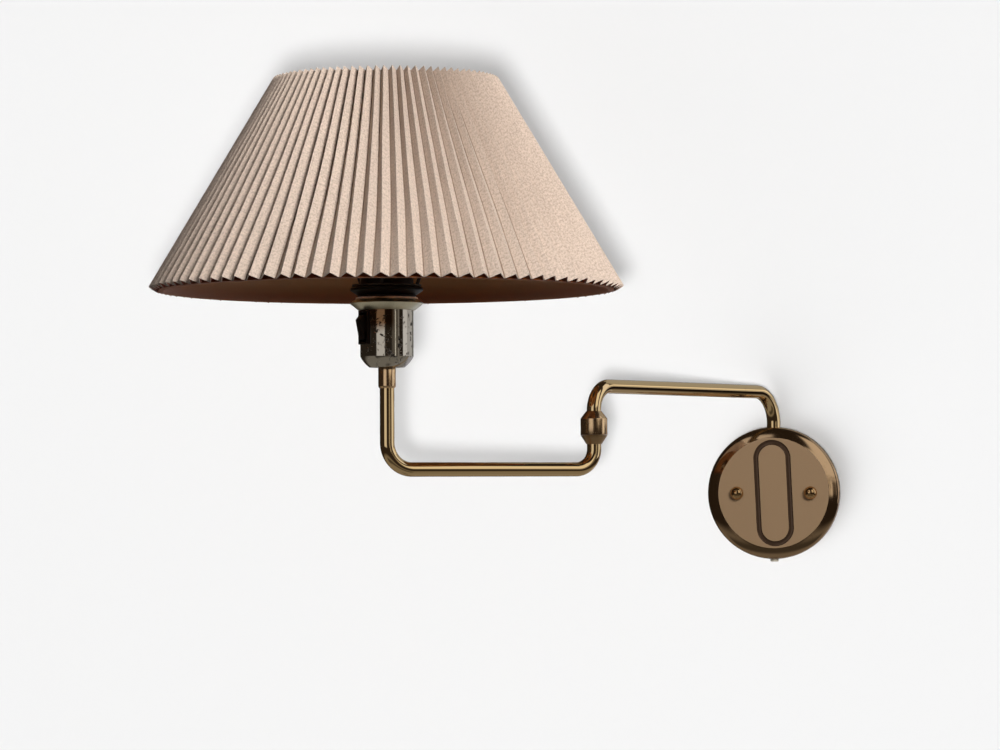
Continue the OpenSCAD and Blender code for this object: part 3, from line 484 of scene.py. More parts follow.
# The maker of each material, the name of its colour or the colour itself, and the maker's
# other values in their order
MATERIALS = {
    "polished_brass": (metal, "brass", (0.55, 0.36, 0.17), 0.045, 0.3, 22.0),
    "elbow_brass": (metal, (0.78, 0.56, 0.35), (0.44, 0.28, 0.14), 0.2, 0.5, 60.0),
    "dull_brass": (metal, (0.45, 0.31, 0.18), (0.24, 0.15, 0.08), 0.3, 0.5, 70.0, 0.2),
    "satin_brass": (metal, "satin", (0.34, 0.225, 0.125), 0.45, 0.3, 18.0, 0.5, 0.45),
    "rim_brass": (metal, "rim", (0.34, 0.22, 0.13), 0.1, 0.45, 30.0),
    "line_lacquer": (metal, "lacquer", (0.04, 0.022, 0.013), 0.2, 0.4, 60.0, 0.0, 0.5),
    "cap_brass": (metal, (0.60, 0.40, 0.21), (0.34, 0.20, 0.09), 0.12, 0.5, 90.0),
    "contact_brass": (metal, (0.76, 0.60, 0.32), (0.45, 0.32, 0.15), 0.2, 0.4, 60.0),
    "cup_nickel": (metal, "cup", (0.58, 0.57, 0.44), 0.3, 0.5, 70.0, 0.25),
    "zinc_steel": (metal, "zinc", (0.36, 0.35, 0.33), 0.32, 0.45, 60.0, 0.3),
    "aged_nickel": (nickel_shell, "nickel"),
    "black_phenolic": (moulding, "black", 0.4, 0.002, 0.2),
    "brown_phenolic": (moulding, "brown", 0.38, 0.002, 0.25),
    "nylon": (moulding, "nylon", 0.5),
    "pale_rubber": (moulding, "rubber", 0.6),
    "ceramic": (moulding, "ceramic", 0.75),
    "cable_sheath": (moulding, "cable", 0.5, 0.01),
    "painted_wire": (moulding, "wire", 0.45),
    "fibre": (moulding, "gasket", 0.85, 0.03),
    "pleat_cloth": (pleat_linen, "cloth"),
    "pleat_inside": (pleat_linen, "cloth_inside"),
    "liner_card": (liner_card, "liner"),
}


def material(name):
    """The named material, made when it is first asked for."""
    made = bpy.data.materials.get("dressed_" + name)
    if made:
        return made
    maker, tint, *values = MATERIALS[name]
    if isinstance(tint, str):
        tint = tuple(getattr(bpy.context.scene.wall_light_colours, tint))
    return maker(name, tint, *values)


# Shapes

def only(kind, made):
    """The vertices, edges or faces among what an operator made."""
    return [g for g in made if isinstance(g, kind)]


def all_of(bm):
    return bm.verts[:] + bm.edges[:] + bm.faces[:]


def soften(bm, width):
    """Rounds every edge that turns by more than a rounded surface's own edges do."""
    sharp = [e for e in bm.edges
             if len(e.link_faces) == 2 and e.calc_face_angle(0.0) > radians(28)]
    if sharp:
        bmesh.ops.bevel(
            bm, geom=sharp, offset=width, offset_type="OFFSET", affect="EDGES",
            segments=3, profile=0.5, material=-1, clamp_overlap=True)


def lathe(outline, steps=128, bevel=0.0, closed=True):
    """Spins an outline of radius and height once round Z."""
    bm = bmesh.new()
    verts = [bm.verts.new((r, 0.0, z)) for r, z in outline]
    pairs = list(zip(verts, verts[1:]))
    if closed:
        pairs.append((verts[-1], verts[0]))
    edges = [bm.edges.new(pair) for pair in pairs]
    bmesh.ops.spin(
        bm, geom=verts + edges, cent=(0, 0, 0), axis=(0, 0, 1), dvec=(0, 0, 0),
        angle=2 * pi, steps=steps, use_merge=True, use_duplicate=False)
    bmesh.ops.remove_doubles(bm, verts=bm.verts, dist=SAME_PLACE)
    bmesh.ops.recalc_face_normals(bm, faces=bm.faces)
    if bevel:
        soften(bm, bevel)
    return bm


def screwed(bm, edges, pitch, turns):
    """Winds edges up round Z as a thread, and returns what ends it."""
    steps = 48
    return bmesh.ops.spin(
        bm, geom=edges, cent=(0, 0, 0), axis=(0, 0, 1), dvec=(0, 0, pitch / steps),
        angle=2 * pi * turns, steps=turns * steps, use_merge=False,
        use_duplicate=False)["geom_last"]


def curve_points(a, b, c, steps):
    """Points of a smooth curve that leaves a towards b and arrives at c from b."""
    found = []
    for i in range(steps + 1):
        t = i / steps
        found.append(tuple(
            (1 - t) ** 2 * a[k] + 2 * t * (1 - t) * b[k] + t * t * c[k] for k in (0, 1)))
    return found


def grow(bm, edges):
    """Extrudes a loop of edges, and returns the new vertices, edges and faces."""
    made = bmesh.ops.extrude_edge_only(bm, edges=edges)["geom"]
    verts = only(BMVert, made)
    fresh = set(verts)
    loop = [e for e in only(BMEdge, made) if fresh.issuperset(e.verts)]
    return verts, loop, only(BMFace, made)


def swept_tube(start, heading, moves, radius=TUBE_R, sides=48):
    """A round bar that runs straight and turns as the moves say, closed at its ends."""
    bm = bmesh.new()
    facing = heading.to_track_quat("Z", "Y").to_matrix().to_4x4()
    bmesh.ops.create_circle(
        bm, cap_ends=False, segments=sides, radius=radius,
        matrix=Matrix.Translation(start) @ facing)
    edges = bm.edges[:]
    first, here = edges, start
    for kind, value, *turned in moves:
        if kind == "run":
            verts, edges, _ = grow(bm, edges)
            bmesh.ops.translate(bm, verts=verts, vec=heading * value)
            here = here + heading * value
        else:
            onward = turned[0]
            centre = here + onward * value
            edges = only(BMEdge, bmesh.ops.spin(
                bm, geom=edges, cent=centre, axis=heading.cross(onward), dvec=(0, 0, 0),
                angle=pi / 2, steps=28, use_merge=False, use_duplicate=False)["geom_last"])
            here = centre + heading * value
            heading = onward
    for loop in (first, edges):
        bmesh.ops.edgeloop_fill(bm, edges=loop)
    bmesh.ops.recalc_face_normals(bm, faces=bm.faces)
    return bm


def extruded(outline, width):
    """A flat outline in X and Z, given a width along Y."""
    bm = bmesh.new()
    face = bm.faces.new([bm.verts.new((x, -width / 2, z)) for x, z in outline])
    made = bmesh.ops.extrude_face_region(bm, geom=[face])["geom"]
    bmesh.ops.translate(bm, verts=only(BMVert, made), vec=(0, width, 0))
    bmesh.ops.recalc_face_normals(bm, faces=bm.faces)
    return bm


def plain_object(name, bm):
    """An object of the scene with this shape as its mesh."""
    mesh = bpy.data.meshes.new(name)
    bm.to_mesh(mesh)
    bm.free()
    thing = bpy.data.objects.new(name, mesh)
    bpy.context.scene.collection.objects.link(thing)
    return thing


def add_object(name, bm, materials, smooth=35):
    """A smooth object that keeps its sharp edges, with its materials."""
    thing = plain_object(name, bm)
    for each in materials:
        thing.data.materials.append(each)
    thing.data.shade_smooth()
    thing.data.set_sharp_from_angle(angle=radians(smooth))
    return thing


def add_piece(name, bm, body, node, slot, materials=None, smooth=35):
    """A finished piece that stands for its solid and rides with its body."""
    piece = add_object(name, bm, [material(m) for m in materials or [slot]], smooth)
    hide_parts(node)
    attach(piece, body)
    return piece


def add_turned(name, outline, foot, body, node, slot, finish=None, smooth=35, **turning):
    """A finished piece that is one outline turned round the axis over its foot."""
    bm = lathe(outline, **turning)
    bm.transform(Matrix.Translation(foot))
    return add_piece(name, bm, body, node, slot, [finish or slot], smooth)


def finish_solids(slot_materials):
    """Gives solids that stay as they are their finish."""
    for node, name in slot_materials.items():
        solid = frame["nodes"][node]
        finish = material(name)
        if not solid.material_slots:
            solid.data.materials.append(finish)
        for place in solid.material_slots:
            place.material = finish


def cut_away(piece, bm):
    """Cuts a closed shape out of a piece."""
    cutter = plain_object("cutter", bm)
    cut = piece.modifiers.new("Cut", "BOOLEAN")
    cut.object, cut.operation, cut.solver = cutter, "DIFFERENCE", "EXACT"
    bpy.context.view_layer.update()
    depsgraph = bpy.context.evaluated_depsgraph_get()
    result = bpy.data.meshes.new_from_object(piece.evaluated_get(depsgraph))
    piece.modifiers.clear()
    old = (piece.data, cutter.data)
    piece.data = result
    bpy.data.objects.remove(cutter)
    for mesh in old:
        bpy.data.meshes.remove(mesh)


def plate_profile(s):
    """The plate's loops outwards from its pressed line: straight, radius, height and slot."""
    satin, brass, lacquer = range(3)
    straight, half = s.line_straight, s.line_w / 2
    beside, flat = half + 0.05 * MM, half + 0.3 * MM
    loops = [(straight, s.line_r - beside, PLATE_DEPTH, satin)]
    # The line's walls and floor take its painted shade; its lips stay brass
    steps = 16
    for i in range(steps + 1):
        turn = pi - pi * i / steps
        loops.append((straight, s.line_r + half * cos(turn),
                      PLATE_DEPTH - s.line_depth * sin(turn),
                      lacquer if 1 < i < steps else brass))
    loops += [(straight, s.line_r + beside, PLATE_DEPTH, satin),
              (straight, s.line_r + flat, PLATE_DEPTH, satin),
              (0, s.face_r - 0.4 * MM, PLATE_DEPTH, satin), (0, s.face_r, PLATE_DEPTH, satin)]

    # Outside: a shallow cone that bends over into the round shoulder
    corner, middle = s.face_r + 1.3 * MM, PLATE_DEPTH - s.shoulder_r
    joined = radians(62)
    slope_end = (corner + s.shoulder_r * sin(joined), middle + s.shoulder_r * cos(joined))
    slope_start = (s.face_r + 0.3 * MM, PLATE_DEPTH - 0.14 * MM)
    bend = (slope_end[0] - 0.9 * MM, slope_end[1] + 1.7 * MM)
    rim = curve_points(slope_start, bend, slope_end, 12)
    steps = 7
    for i in range(1, steps + 1):
        turn = joined + (pi / 2 - joined) * i / steps
        rim.append((corner + s.shoulder_r * sin(turn), middle + s.shoulder_r * cos(turn)))
    outer_r = corner + s.shoulder_r
    rim += [(outer_r, 0.5 * MM), (outer_r - 0.4 * MM, 0.0)]

    # Inside: straight up and round under the shoulder
    inner_r, small = outer_r - s.plate_wall, s.shoulder_r - s.plate_wall
    rim += [(inner_r, 0.0), (inner_r, middle)]
    steps = 6
    for i in range(1, steps + 1):
        turn = pi / 2 * i / steps
        rim.append((inner_r - small + small * cos(turn), middle + small * sin(turn)))
    return loops + [(0, radius, height, brass) for radius, height in rim]


def plate_shape(s):
    """The dished plate, grown loop by loop from inside its pressed oval line."""
    bm = bmesh.new()
    sides = 144
    bmesh.ops.create_circle(
        bm, cap_ends=False, segments=sides, radius=1.0,
        matrix=Matrix.Rotation(pi / sides, 4, "Z"))
    ways = {v: v.co.normalized() for v in bm.verts}
    edges = bm.edges[:]

    def put(v, straight, radius, height):
        middle = Vector((0, straight if ways[v].y > 0 else -straight, height))
        v.co = middle + ways[v] * radius

    for v in bm.verts:
        put(v, s.line_straight, s.line_r - s.line_w / 2 - 0.3 * MM, PLATE_DEPTH)
    bmesh.ops.edgeloop_fill(bm, edges=edges)
    for straight, radius, height, slot in plate_profile(s):
        verts, edges, faces = grow(bm, edges)
        for face in faces:
            face.material_index = slot
        fresh = set(verts)
        for v in verts:
            ways[v] = next(ways[e.other_vert(v)] for e in v.link_edges
                           if e.other_vert(v) not in fresh)
            put(v, straight, radius, height)
    for face in bmesh.ops.edgeloop_fill(bm, edges=edges)["faces"]:
        face.material_index = 1
    bmesh.ops.recalc_face_normals(bm, faces=bm.faces)
    line_foot = PLATE_DEPTH - s.line_depth - 0.05 * MM
    line = [v for v in bm.verts
            if hypot(v.co.x, v.co.y) < s.face_r - 0.5 * MM and v.co.z > line_foot]
    bmesh.ops.rotate(bm, verts=line, cent=(0, 0, 0), matrix=Matrix.Rotation(s.line_lean, 3, "Z"))
    bm.transform(FACING_ROOM)
    return bm


# Operators

class PieceOperator:
    """What the operators share: one step, undoable, on the scene's sizes."""
    bl_options = {"REGISTER", "UNDO"}

    def execute(self, context):
        self.make(context.scene.wall_light_sizes)
        return {"FINISHED"}


class WALL_LIGHT_OT_wall_plate(PieceOperator, bpy.types.Operator):
    """Dished wall plate with its pressed line, cap nuts and inlet grommet"""
    bl_idname = "wall_light.wall_plate"
    bl_label = "Wall plate"

    def make(self, s):
        edge_angle = 50
        plate = add_piece(
            "wall_plate_dressed", plate_shape(s), "wall_mount", "wall_plate", "satin_brass",
            ["satin_brass", "rim_brass", "line_lacquer"], smooth=edge_angle)
        holes = bmesh.new()
        tube_hole = (0.0, 50 * MM, TUBE_R + 0.3 * MM)
        drain_notch = (7.6 * MM, -58 * MM, 2.3 * MM)
        for x, z, radius in (tube_hole, drain_notch):
            bmesh.ops.create_cone(
                holes, cap_ends=True, segments=48, radius1=radius, radius2=radius,
                depth=24 * MM, matrix=Matrix.Translation((x, WALL_PIVOT.y, z)))
        cut_away(plate, holes)
        plate.data.set_sharp_from_angle(angle=radians(edge_angle))
        self.cap_nuts(s)
        self.grommet()

    def cap_nuts(self, s):
        foot, edge = 1.5 * MM, 0.5 * MM
        outline = [(0.0, 0.0), (s.cap_r - edge, 0.0), (s.cap_r, edge)]
        outline += [(s.cap_r * cos(radians(a)), foot + s.cap_r * sin(radians(a)))
                    for a in range(0, 90, 6)]
        outline += [(0.0, foot + s.cap_r)]
        left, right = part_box("plate_studs")
        stud_r = 2 * MM
        both = lathe(outline, steps=64, closed=False)
        both.transform(Matrix.Translation((left.x + stud_r, -PLATE_DEPTH, 0)) @ FACING_ROOM)
        second = only(BMVert, bmesh.ops.duplicate(both, geom=all_of(both))["geom"])
        bmesh.ops.translate(both, verts=second, vec=(right.x - left.x - 2 * stud_r, 0, 0))
        add_piece("cap_nut_pair", both, "wall_mount", "cap_nuts", "cap_brass", smooth=60)

    def grommet(self):
        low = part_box("cord_grommet")[0].z
        outline = [(2.4, 0.2), (2.9, 0.0), (3.4, 0.15), (3.75, 0.7), (3.75, 2.3), (3.1, 2.4),
                   (3.1, 4.1), (3.7, 4.1), (3.7, 5.0), (2.4, 5.0)]
        add_turned("inlet_grommet", [(r * MM, z * MM) for r, z in outline],
                   (0, WALL_PIVOT.y, low), "wall_mount", "cord_grommet", "pale_rubber",
                   steps=48, bevel=0.15 * MM)


class WALL_LIGHT_OT_arms(PieceOperator, bpy.types.Operator):
    """The two bent tubes, and the cable that follows the upper one"""
    bl_idname = "wall_light.arms"
    bl_label = "Arm tubes"

    def make(self, s):
        up = Vector((0, 0, 1))
        stem_in_shell = 7 * MM
        span = Vector((ELBOW.x - WALL_PIVOT.x, ELBOW.y - WALL_PIVOT.y, 0))
        out = span.normalized()
        foot = Vector((WALL_PIVOT.x, WALL_PIVOT.y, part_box("upper_tube")[0].z))
        elbow_socket = ELBOW.z + s.elbow_h - SOCKET_DEPTH
        route = [
            ("run", UPPER_ARM_Z - s.plate_bend_r - foot.z), ("turn", s.plate_bend_r, out),
            ("run", span.length - s.plate_bend_r - s.elbow_bend_r),
            ("turn", s.elbow_bend_r, -up), ("run", UPPER_ARM_Z - s.elbow_bend_r - elbow_socket)]
        add_piece("upper_arm_tube", swept_tube(foot, up, route), "upper_arm", "upper_tube",
                  "polished_brass")
        add_piece("upper_arm_cable", swept_tube(foot, up, route, 2.4 * MM, 24), "upper_arm",
                  "upper_wiring", "cable_sheath")
        span = Vector((HOLDER.x - ELBOW.x, HOLDER.y - ELBOW.y, 0))
        out = span.normalized()
        head = ELBOW + up * SOCKET_DEPTH
        route = [
            ("run", head.z - LOWER_ARM_Z - s.bend_r), ("turn", s.bend_r, out),
            ("run", span.length - s.bend_r - s.stem_bend_r), ("turn", s.stem_bend_r, up),
            ("run", HOLDER.z + stem_in_shell - LOWER_ARM_Z - s.stem_bend_r)]
        add_piece("lower_arm_tube", swept_tube(head, -up, route), "lower_arm", "lower_tube",
                  "polished_brass")


class WALL_LIGHT_OT_elbow(PieceOperator, bpy.types.Operator):
    """The elbow barrel, in its upper and lower halves, and the stem's sleeve"""
    bl_idname = "wall_light.elbow"
    bl_label = "Elbow and sleeve"

    def make(self, s):
        lip = TUBE_R + 0.5 * MM
        seam, chamber_r = s.elbow_foot + 0.3 * MM, 9.3 * MM
        add_turned("elbow_barrel", [
            (chamber_r, seam), (s.elbow_r, seam), (s.elbow_r, s.elbow_h - s.elbow_cone),
            (lip, s.elbow_h), (TUBE_BORE, s.elbow_h), (TUBE_BORE, s.elbow_h - SOCKET_DEPTH),
            (chamber_r, s.elbow_h - 2 * SOCKET_DEPTH)],
            ELBOW, "upper_arm", "elbow_cup", "polished_brass", "elbow_brass", bevel=0.45 * MM)
        spindle_r, spindle_bore, spindle_top = 5 * MM, 3.9 * MM, 17 * MM
        add_turned("elbow_foot", [
            (TUBE_BORE, 0.0), (lip, 0.0), (s.elbow_r, s.elbow_foot), (spindle_r, s.elbow_foot),
            (spindle_r, spindle_top), (spindle_bore, spindle_top),
            (spindle_bore, SOCKET_DEPTH), (TUBE_BORE, SOCKET_DEPTH)],
            ELBOW, "lower_arm", "elbow_spindle", "dull_brass", bevel=0.3 * MM)
        outer, height, taper = 7.25 * MM, 17.2 * MM, 1.6 * MM
        add_turned("stem_collar", [
            (TUBE_BORE, 0.0), (outer - 0.9 * MM, 0.0), (outer, taper), (outer, height),
            (TUBE_BORE, height)],
            HOLDER - Vector((0, 0, height)), "lower_arm", "stem_sleeve", "polished_brass",
            "elbow_brass", steps=96, bevel=0.3 * MM)


class WALL_LIGHT_OT_lampholder(PieceOperator, bpy.types.Operator):
    """Nickel shell with its window, flared cup and fibre washer"""
    bl_idname = "wall_light.lampholder"
    bl_label = "Lampholder"

    def make(self, s):
        self.shell(s)
        self.cup(s)
        self.washer()

    def shell(self, s):
        corner = (s.shell_r - 2.3 * MM, s.shell_foot_h * 0.45)
        outline = [(TUBE_BORE, 0.0), (s.shell_foot_r - 1 * MM, 0.0)]
        outline += curve_points((s.shell_foot_r, 0.0), corner, (s.shell_r, s.shell_foot_h), 14)
        outline += [(s.shell_r, s.shell_foot_h + i * 6 * MM) for i in range(1, 7)]
        outline += [(s.shell_r, s.shell_h)]
        bm = lathe(outline, steps=160, closed=False)
        bm.transform(Matrix.Rotation(SWITCH_TURN, 4, "Z"))
        self.cut_window(s, bm)
        outwards = sum(f.normal.dot(f.calc_center_median().to_2d().to_3d()) for f in bm.faces)
        if outwards < 0:
            bmesh.ops.reverse_faces(bm, faces=bm.faces)
        bmesh.ops.solidify(bm, geom=bm.faces[:], thickness=1.2 * MM)
        bm.transform(Matrix.Translation(HOLDER))
        add_piece("holder_shell_dressed", bm, "lower_arm", "holder_shell",
                  "nickel", ["aged_nickel"], smooth=18)

    def cut_window(self, s, bm):
        """Opens the shell's wall for the switch frame."""
        facing = Vector((cos(SWITCH_TURN), sin(SWITCH_TURN), 0))
        side = Vector((-facing.y, facing.x, 0))
        middle = self.switch_middle(s)
        gap = 0.05 * MM
        half_w, half_h = s.frame_w / 2 + gap, s.frame_h / 2 + gap
        planes = [(side * half_w, side), (side * -half_w, side)]
        planes += [(Vector((0, 0, middle + way * half_h)), Vector((0, 0, 1))) for way in (-1, 1)]
        for point, normal in planes:
            bmesh.ops.bisect_plane(
                bm, geom=all_of(bm), dist=1e-7, plane_co=point, plane_no=normal)
        window = []
        for face in bm.faces:
            at = face.calc_center_median()
            if at.dot(facing) > 0 and abs(at.dot(side)) < half_w and abs(at.z - middle) < half_h:
                window.append(face)
        bmesh.ops.delete(bm, geom=window, context="FACES")

    @staticmethod
    def switch_middle(s):
        """Height of the switch frame's middle, which hangs just below the cup's neck."""
        return CUP_NECK_Z - 0.3 * MM - s.frame_h / 2

    def cup(self, s):
        edge, sheet = CUP_NECK_Z + 5.7 * MM, 1.2 * MM
        bore = s.shell_r + 0.05 * MM
        add_turned("flared_cup", [
            (bore, CUP_NECK_Z), (s.cup_neck_r, CUP_NECK_Z), (s.cup_edge_r, edge),
            (s.cup_top_r, CUP_TOP_Z), (RING_BORE, CUP_TOP_Z), (RING_BORE, CUP_TOP_Z - sheet),
            (s.cup_top_r - 0.4 * MM, CUP_TOP_Z - sheet), (s.cup_edge_r - 2 * MM, edge),
            (bore, CUP_NECK_Z + 0.5 * MM)],
            HOLDER, "lower_arm", "flare_cup", "green_nickel", "cup_nickel", bevel=0.2 * MM)

    def washer(self):
        """A thin washer with a frayed edge and a worn place at its front."""
        radius, inner_edge, untouched_r = 25.6 * MM, 22.5 * MM, 24 * MM
        fray, worn_back, worn_down = 0.18 * MM, 1.7 * MM, 0.5 * MM
        front, worn_angle = Vector((-0.05, -1, 0)).normalized(), radians(11)
        middle = (CUP_TOP_Z + WASHER_TOP_Z) / 2
        bm = lathe([
            (RING_BORE, CUP_TOP_Z), (radius, CUP_TOP_Z), (radius, middle),
            (radius, WASHER_TOP_Z), (inner_edge, WASHER_TOP_Z), (RING_BORE, WASHER_TOP_Z)],
            steps=192)
        for v in bm.verts:
            if hypot(v.co.x, v.co.y) < untouched_r:
                continue
            around = Vector((v.co.x, v.co.y, 0)).normalized()
            frayed = noise.noise(around * 14) * fray
            worn = min(1.0, 3 * max(0.0, 1 - around.angle(front) / worn_angle))
            if v.co.z > middle - SAME_PLACE:
                frayed -= worn * worn_back
            v.co += around * min(frayed, 0.0)
            if v.co.z > middle + SAME_PLACE:
                v.co.z -= worn * worn_down
        bmesh.ops.recalc_face_normals(bm, faces=bm.faces)
        bm.transform(Matrix.Translation(HOLDER))
        add_piece("fibre_washer", bm, "lower_arm", "holder_gasket", "fibre")


class WALL_LIGHT_OT_skirt(PieceOperator, bpy.types.Operator):
    """Black threaded skirt, its two shade rings, and the bulb's screw shell"""
    bl_idname = "wall_light.skirt"
    bl_label = "Threaded skirt and rings"

    def make(self, s):
        flange_top = WASHER_TOP_Z + 2 * MM
        self.skirt(s, flange_top)
        outline = [(RING_BORE, 0.0), (FLANGE_R, 0.0), (s.ring_r, 3.8 * MM), (s.ring_r, 5.55 * MM),
                   (s.ring_r - 0.9 * MM, 6.45 * MM), (22.5 * MM, 7 * MM), (RING_BORE, 7 * MM)]
        add_turned("shade_ring_low", outline, HOLDER + Vector((0, 0, flange_top)), "lower_arm",
                   "lower_shade_ring", "black_phenolic", bevel=0.3 * MM)
        low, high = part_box("upper_shade_ring")
        height, ring_r, shoulder = high.z - low.z, 22 * MM, 1.2 * MM
        outline = [(RING_BORE, 0.0), (ring_r, 0.0), (ring_r, height - shoulder),
                   (ring_r - 1 * MM, height), (RING_BORE, height)]
        add_turned("shade_ring_high", outline, (HOLDER.x, HOLDER.y, low.z), "lower_arm",
                   "upper_shade_ring", "black_phenolic", steps=96, bevel=0.3 * MM)
        self.screw_shell()

    def skirt(self, s, flange_top):
        top, bore = 94.4 * MM, 16.6 * MM
        root, crest = s.skirt_r - 0.8 * MM, s.skirt_r - 0.1 * MM
        bm = lathe([
            (bore, WASHER_TOP_Z), (FLANGE_R, WASHER_TOP_Z), (FLANGE_R, flange_top),
            (root, flange_top), (root, top), (bore, top)], bevel=0.3 * MM)
        sunk = root - 0.05 * MM
        ridge = [bm.verts.new((r, 0, flange_top + z)) for r, z in (
            (sunk, 0.35 * MM), (crest, 1.0 * MM), (crest, 1.3 * MM), (sunk, 1.95 * MM))]
        edges = [bm.edges.new(pair) for pair in zip(ridge, ridge[1:] + ridge[:1])]
        bm.faces.new(ridge)
        end = only(BMEdge, screwed(bm, edges, s.skirt_pitch, 13))
        bmesh.ops.edgeloop_fill(bm, edges=end)
        bmesh.ops.recalc_face_normals(bm, faces=bm.faces)
        bm.transform(Matrix.Translation(HOLDER))
        add_piece("skirt_threaded", bm, "lower_arm", "threaded_skirt", "black_phenolic")

    def screw_shell(self):
        pitch, crest, depth, sheet = 3.6 * MM, 13.6 * MM, 0.7 * MM, 0.25 * MM
        lift, points = 0.6 * MM, 10
        bm = bmesh.new()
        wave = [bm.verts.new((
            crest - depth * (0.5 - 0.5 * cos(2 * pi * i / points)), 0, pitch * i / points))
            for i in range(points + 1)]
        screwed(bm, [bm.edges.new(pair) for pair in zip(wave, wave[1:])], pitch, 7)
        bmesh.ops.remove_doubles(bm, verts=bm.verts, dist=SAME_PLACE)
        bmesh.ops.recalc_face_normals(bm, faces=bm.faces)
        bmesh.ops.solidify(bm, geom=bm.faces[:], thickness=sheet)
        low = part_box("screw_shell")[0].z
        bm.transform(Matrix.Translation((HOLDER.x, HOLDER.y, low + lift)))
        add_piece("bulb_screw_shell", bm, "lower_arm", "screw_shell", "contact_brass")


class WALL_LIGHT_OT_switch(PieceOperator, bpy.types.Operator):
    """Switch frame and rocker"""
    bl_idname = "wall_light.switch"
    bl_label = "Rocker switch"

    def make(self, s):
        front = s.shell_r + 1.2 * MM
        middle = HOLDER + Vector((0, 0, WALL_LIGHT_OT_lampholder.switch_middle(s)))
        place = Matrix.Translation(middle) @ Matrix.Rotation(SWITCH_TURN, 4, "Z")
        mouth_y, mouth_z, thick = 4.7 * MM, 12.1 * MM, 3 * MM
        bm = bmesh.new()
        bmesh.ops.create_cube(bm, size=1.0, matrix=Matrix.Translation(
            (front - thick / 2, 0, 0)) @ Matrix.Diagonal((thick, s.frame_w, s.frame_h, 1)))
        mouths = []
        for way in (1, -1):
            face = max(bm.faces, key=lambda f: f.calc_center_median().x * way)
            bmesh.ops.inset_individual(bm, faces=[face], thickness=1.0 * MM, depth=0.0)
            for v in face.verts:
                v.co.y = mouth_y if v.co.y > 0 else -mouth_y
                v.co.z = mouth_z if v.co.z > 0 else -mouth_z
            mouths.append(face)
        rims = [e for face in mouths for e in face.edges]
        bmesh.ops.delete(bm, geom=mouths, context="FACES_ONLY")
        bmesh.ops.bridge_loops(bm, edges=rims)
        bmesh.ops.recalc_face_normals(bm, faces=bm.faces)
        soften(bm, 0.45 * MM)
        bm.transform(place)
        add_piece("switch_surround", bm, "lower_arm", "switch_frame", "brown_phenolic")
        pin = front - 5.5 * MM
        outline = [(-3.2, -6.0), (6.9, -10.2), (10.2, 6.1), (6.7, 10.2), (-3.2, 6.0)]
        bm = extruded([(x * MM, z * MM) for x, z in outline], s.rocker_w)
        soften(bm, 0.5 * MM)
        bm.transform(place @ Matrix.Translation((pin, 0, 0)))
        add_piece("rocker", bm, "rocker", "switch_rocker", "brown_phenolic")


class Slope:
    """The shade's cone: a radius and height for a place up its slope and a depth."""

    def __init__(self, s):
        self.lean = atan((s.shade_bottom_r - s.shade_top_r) / s.shade_h)
        self.slant = s.shade_h / cos(self.lean)
        self.bottom_r = s.shade_bottom_r
        self.foot = FITTER_Z - s.shade_drop

    def at(self, up, depth):
        return (self.bottom_r - up * sin(self.lean) - depth * cos(self.lean),
                self.foot + up * cos(self.lean) - depth * sin(self.lean))


class WALL_LIGHT_OT_liner(PieceOperator, bpy.types.Operator):
    """Smooth liner of the shade, with its edges rolled over the wires"""
    bl_idname = "wall_light.liner"
    bl_label = "Shade liner"

    HEM_H = 18 * MM

    def make(self, s):
        slope = Slope(s)
        steps, turning = 8, {"steps": 180}
        near, far = s.liner_depth, s.liner_depth + s.liner_t
        low, top = s.liner_inset, slope.slant - s.liner_inset
        between = top - low - 2 * self.HEM_H
        outline = [slope.at(low + (top - low) * i / steps, near) for i in range(steps + 1)]
        outline += self.hem(slope, s, top, far, 1)
        outline += [slope.at(top - self.HEM_H - between * i / steps, far)
                    for i in range(steps + 1)]
        outline += self.hem(slope, s, low, far, -1)[::-1]
        add_turned("shade_lining", outline, SHADE_AXIS, "shade", "shade_liner", "shade_liner",
                   "liner_card", smooth=60, **turning)
        sides = 16
        for node, up in (("shade_bottom_ring", s.wire_inset),
                         ("shade_top_ring", slope.slant - s.wire_inset)):
            radius, height = slope.at(up, s.wire_depth)
            outline = [(radius + s.wire_r * cos(a), height + s.wire_r * sin(a))
                       for a in (2 * pi * i / sides for i in range(sides))]
            add_turned("dressed_" + node, outline, SHADE_AXIS, "shade", node, "steel_wire",
                       "painted_wire", smooth=80, **turning)

    def hem(self, slope, s, edge, far, way):
        """The sheet's edge, wrapped over the wire and laid back along the inside."""
        wrap = s.wire_r + 0.35 * MM
        inset = s.wire_inset - s.liner_inset
        middle = edge - way * inset
        found = []
        for i in range(9):
            turn = pi / 2 - pi / 16 * i
            found.append(slope.at(middle + way * wrap * sin(turn),
                                  s.wire_depth + wrap * cos(turn)))
        steps = 7
        for i in range(1, steps):
            t = i / steps
            ease = t * t * (3 - 2 * t)
            found.append(slope.at(middle - way * (self.HEM_H - inset) * t,
                                  s.wire_depth + wrap + (far - s.wire_depth - wrap) * ease))
        return found


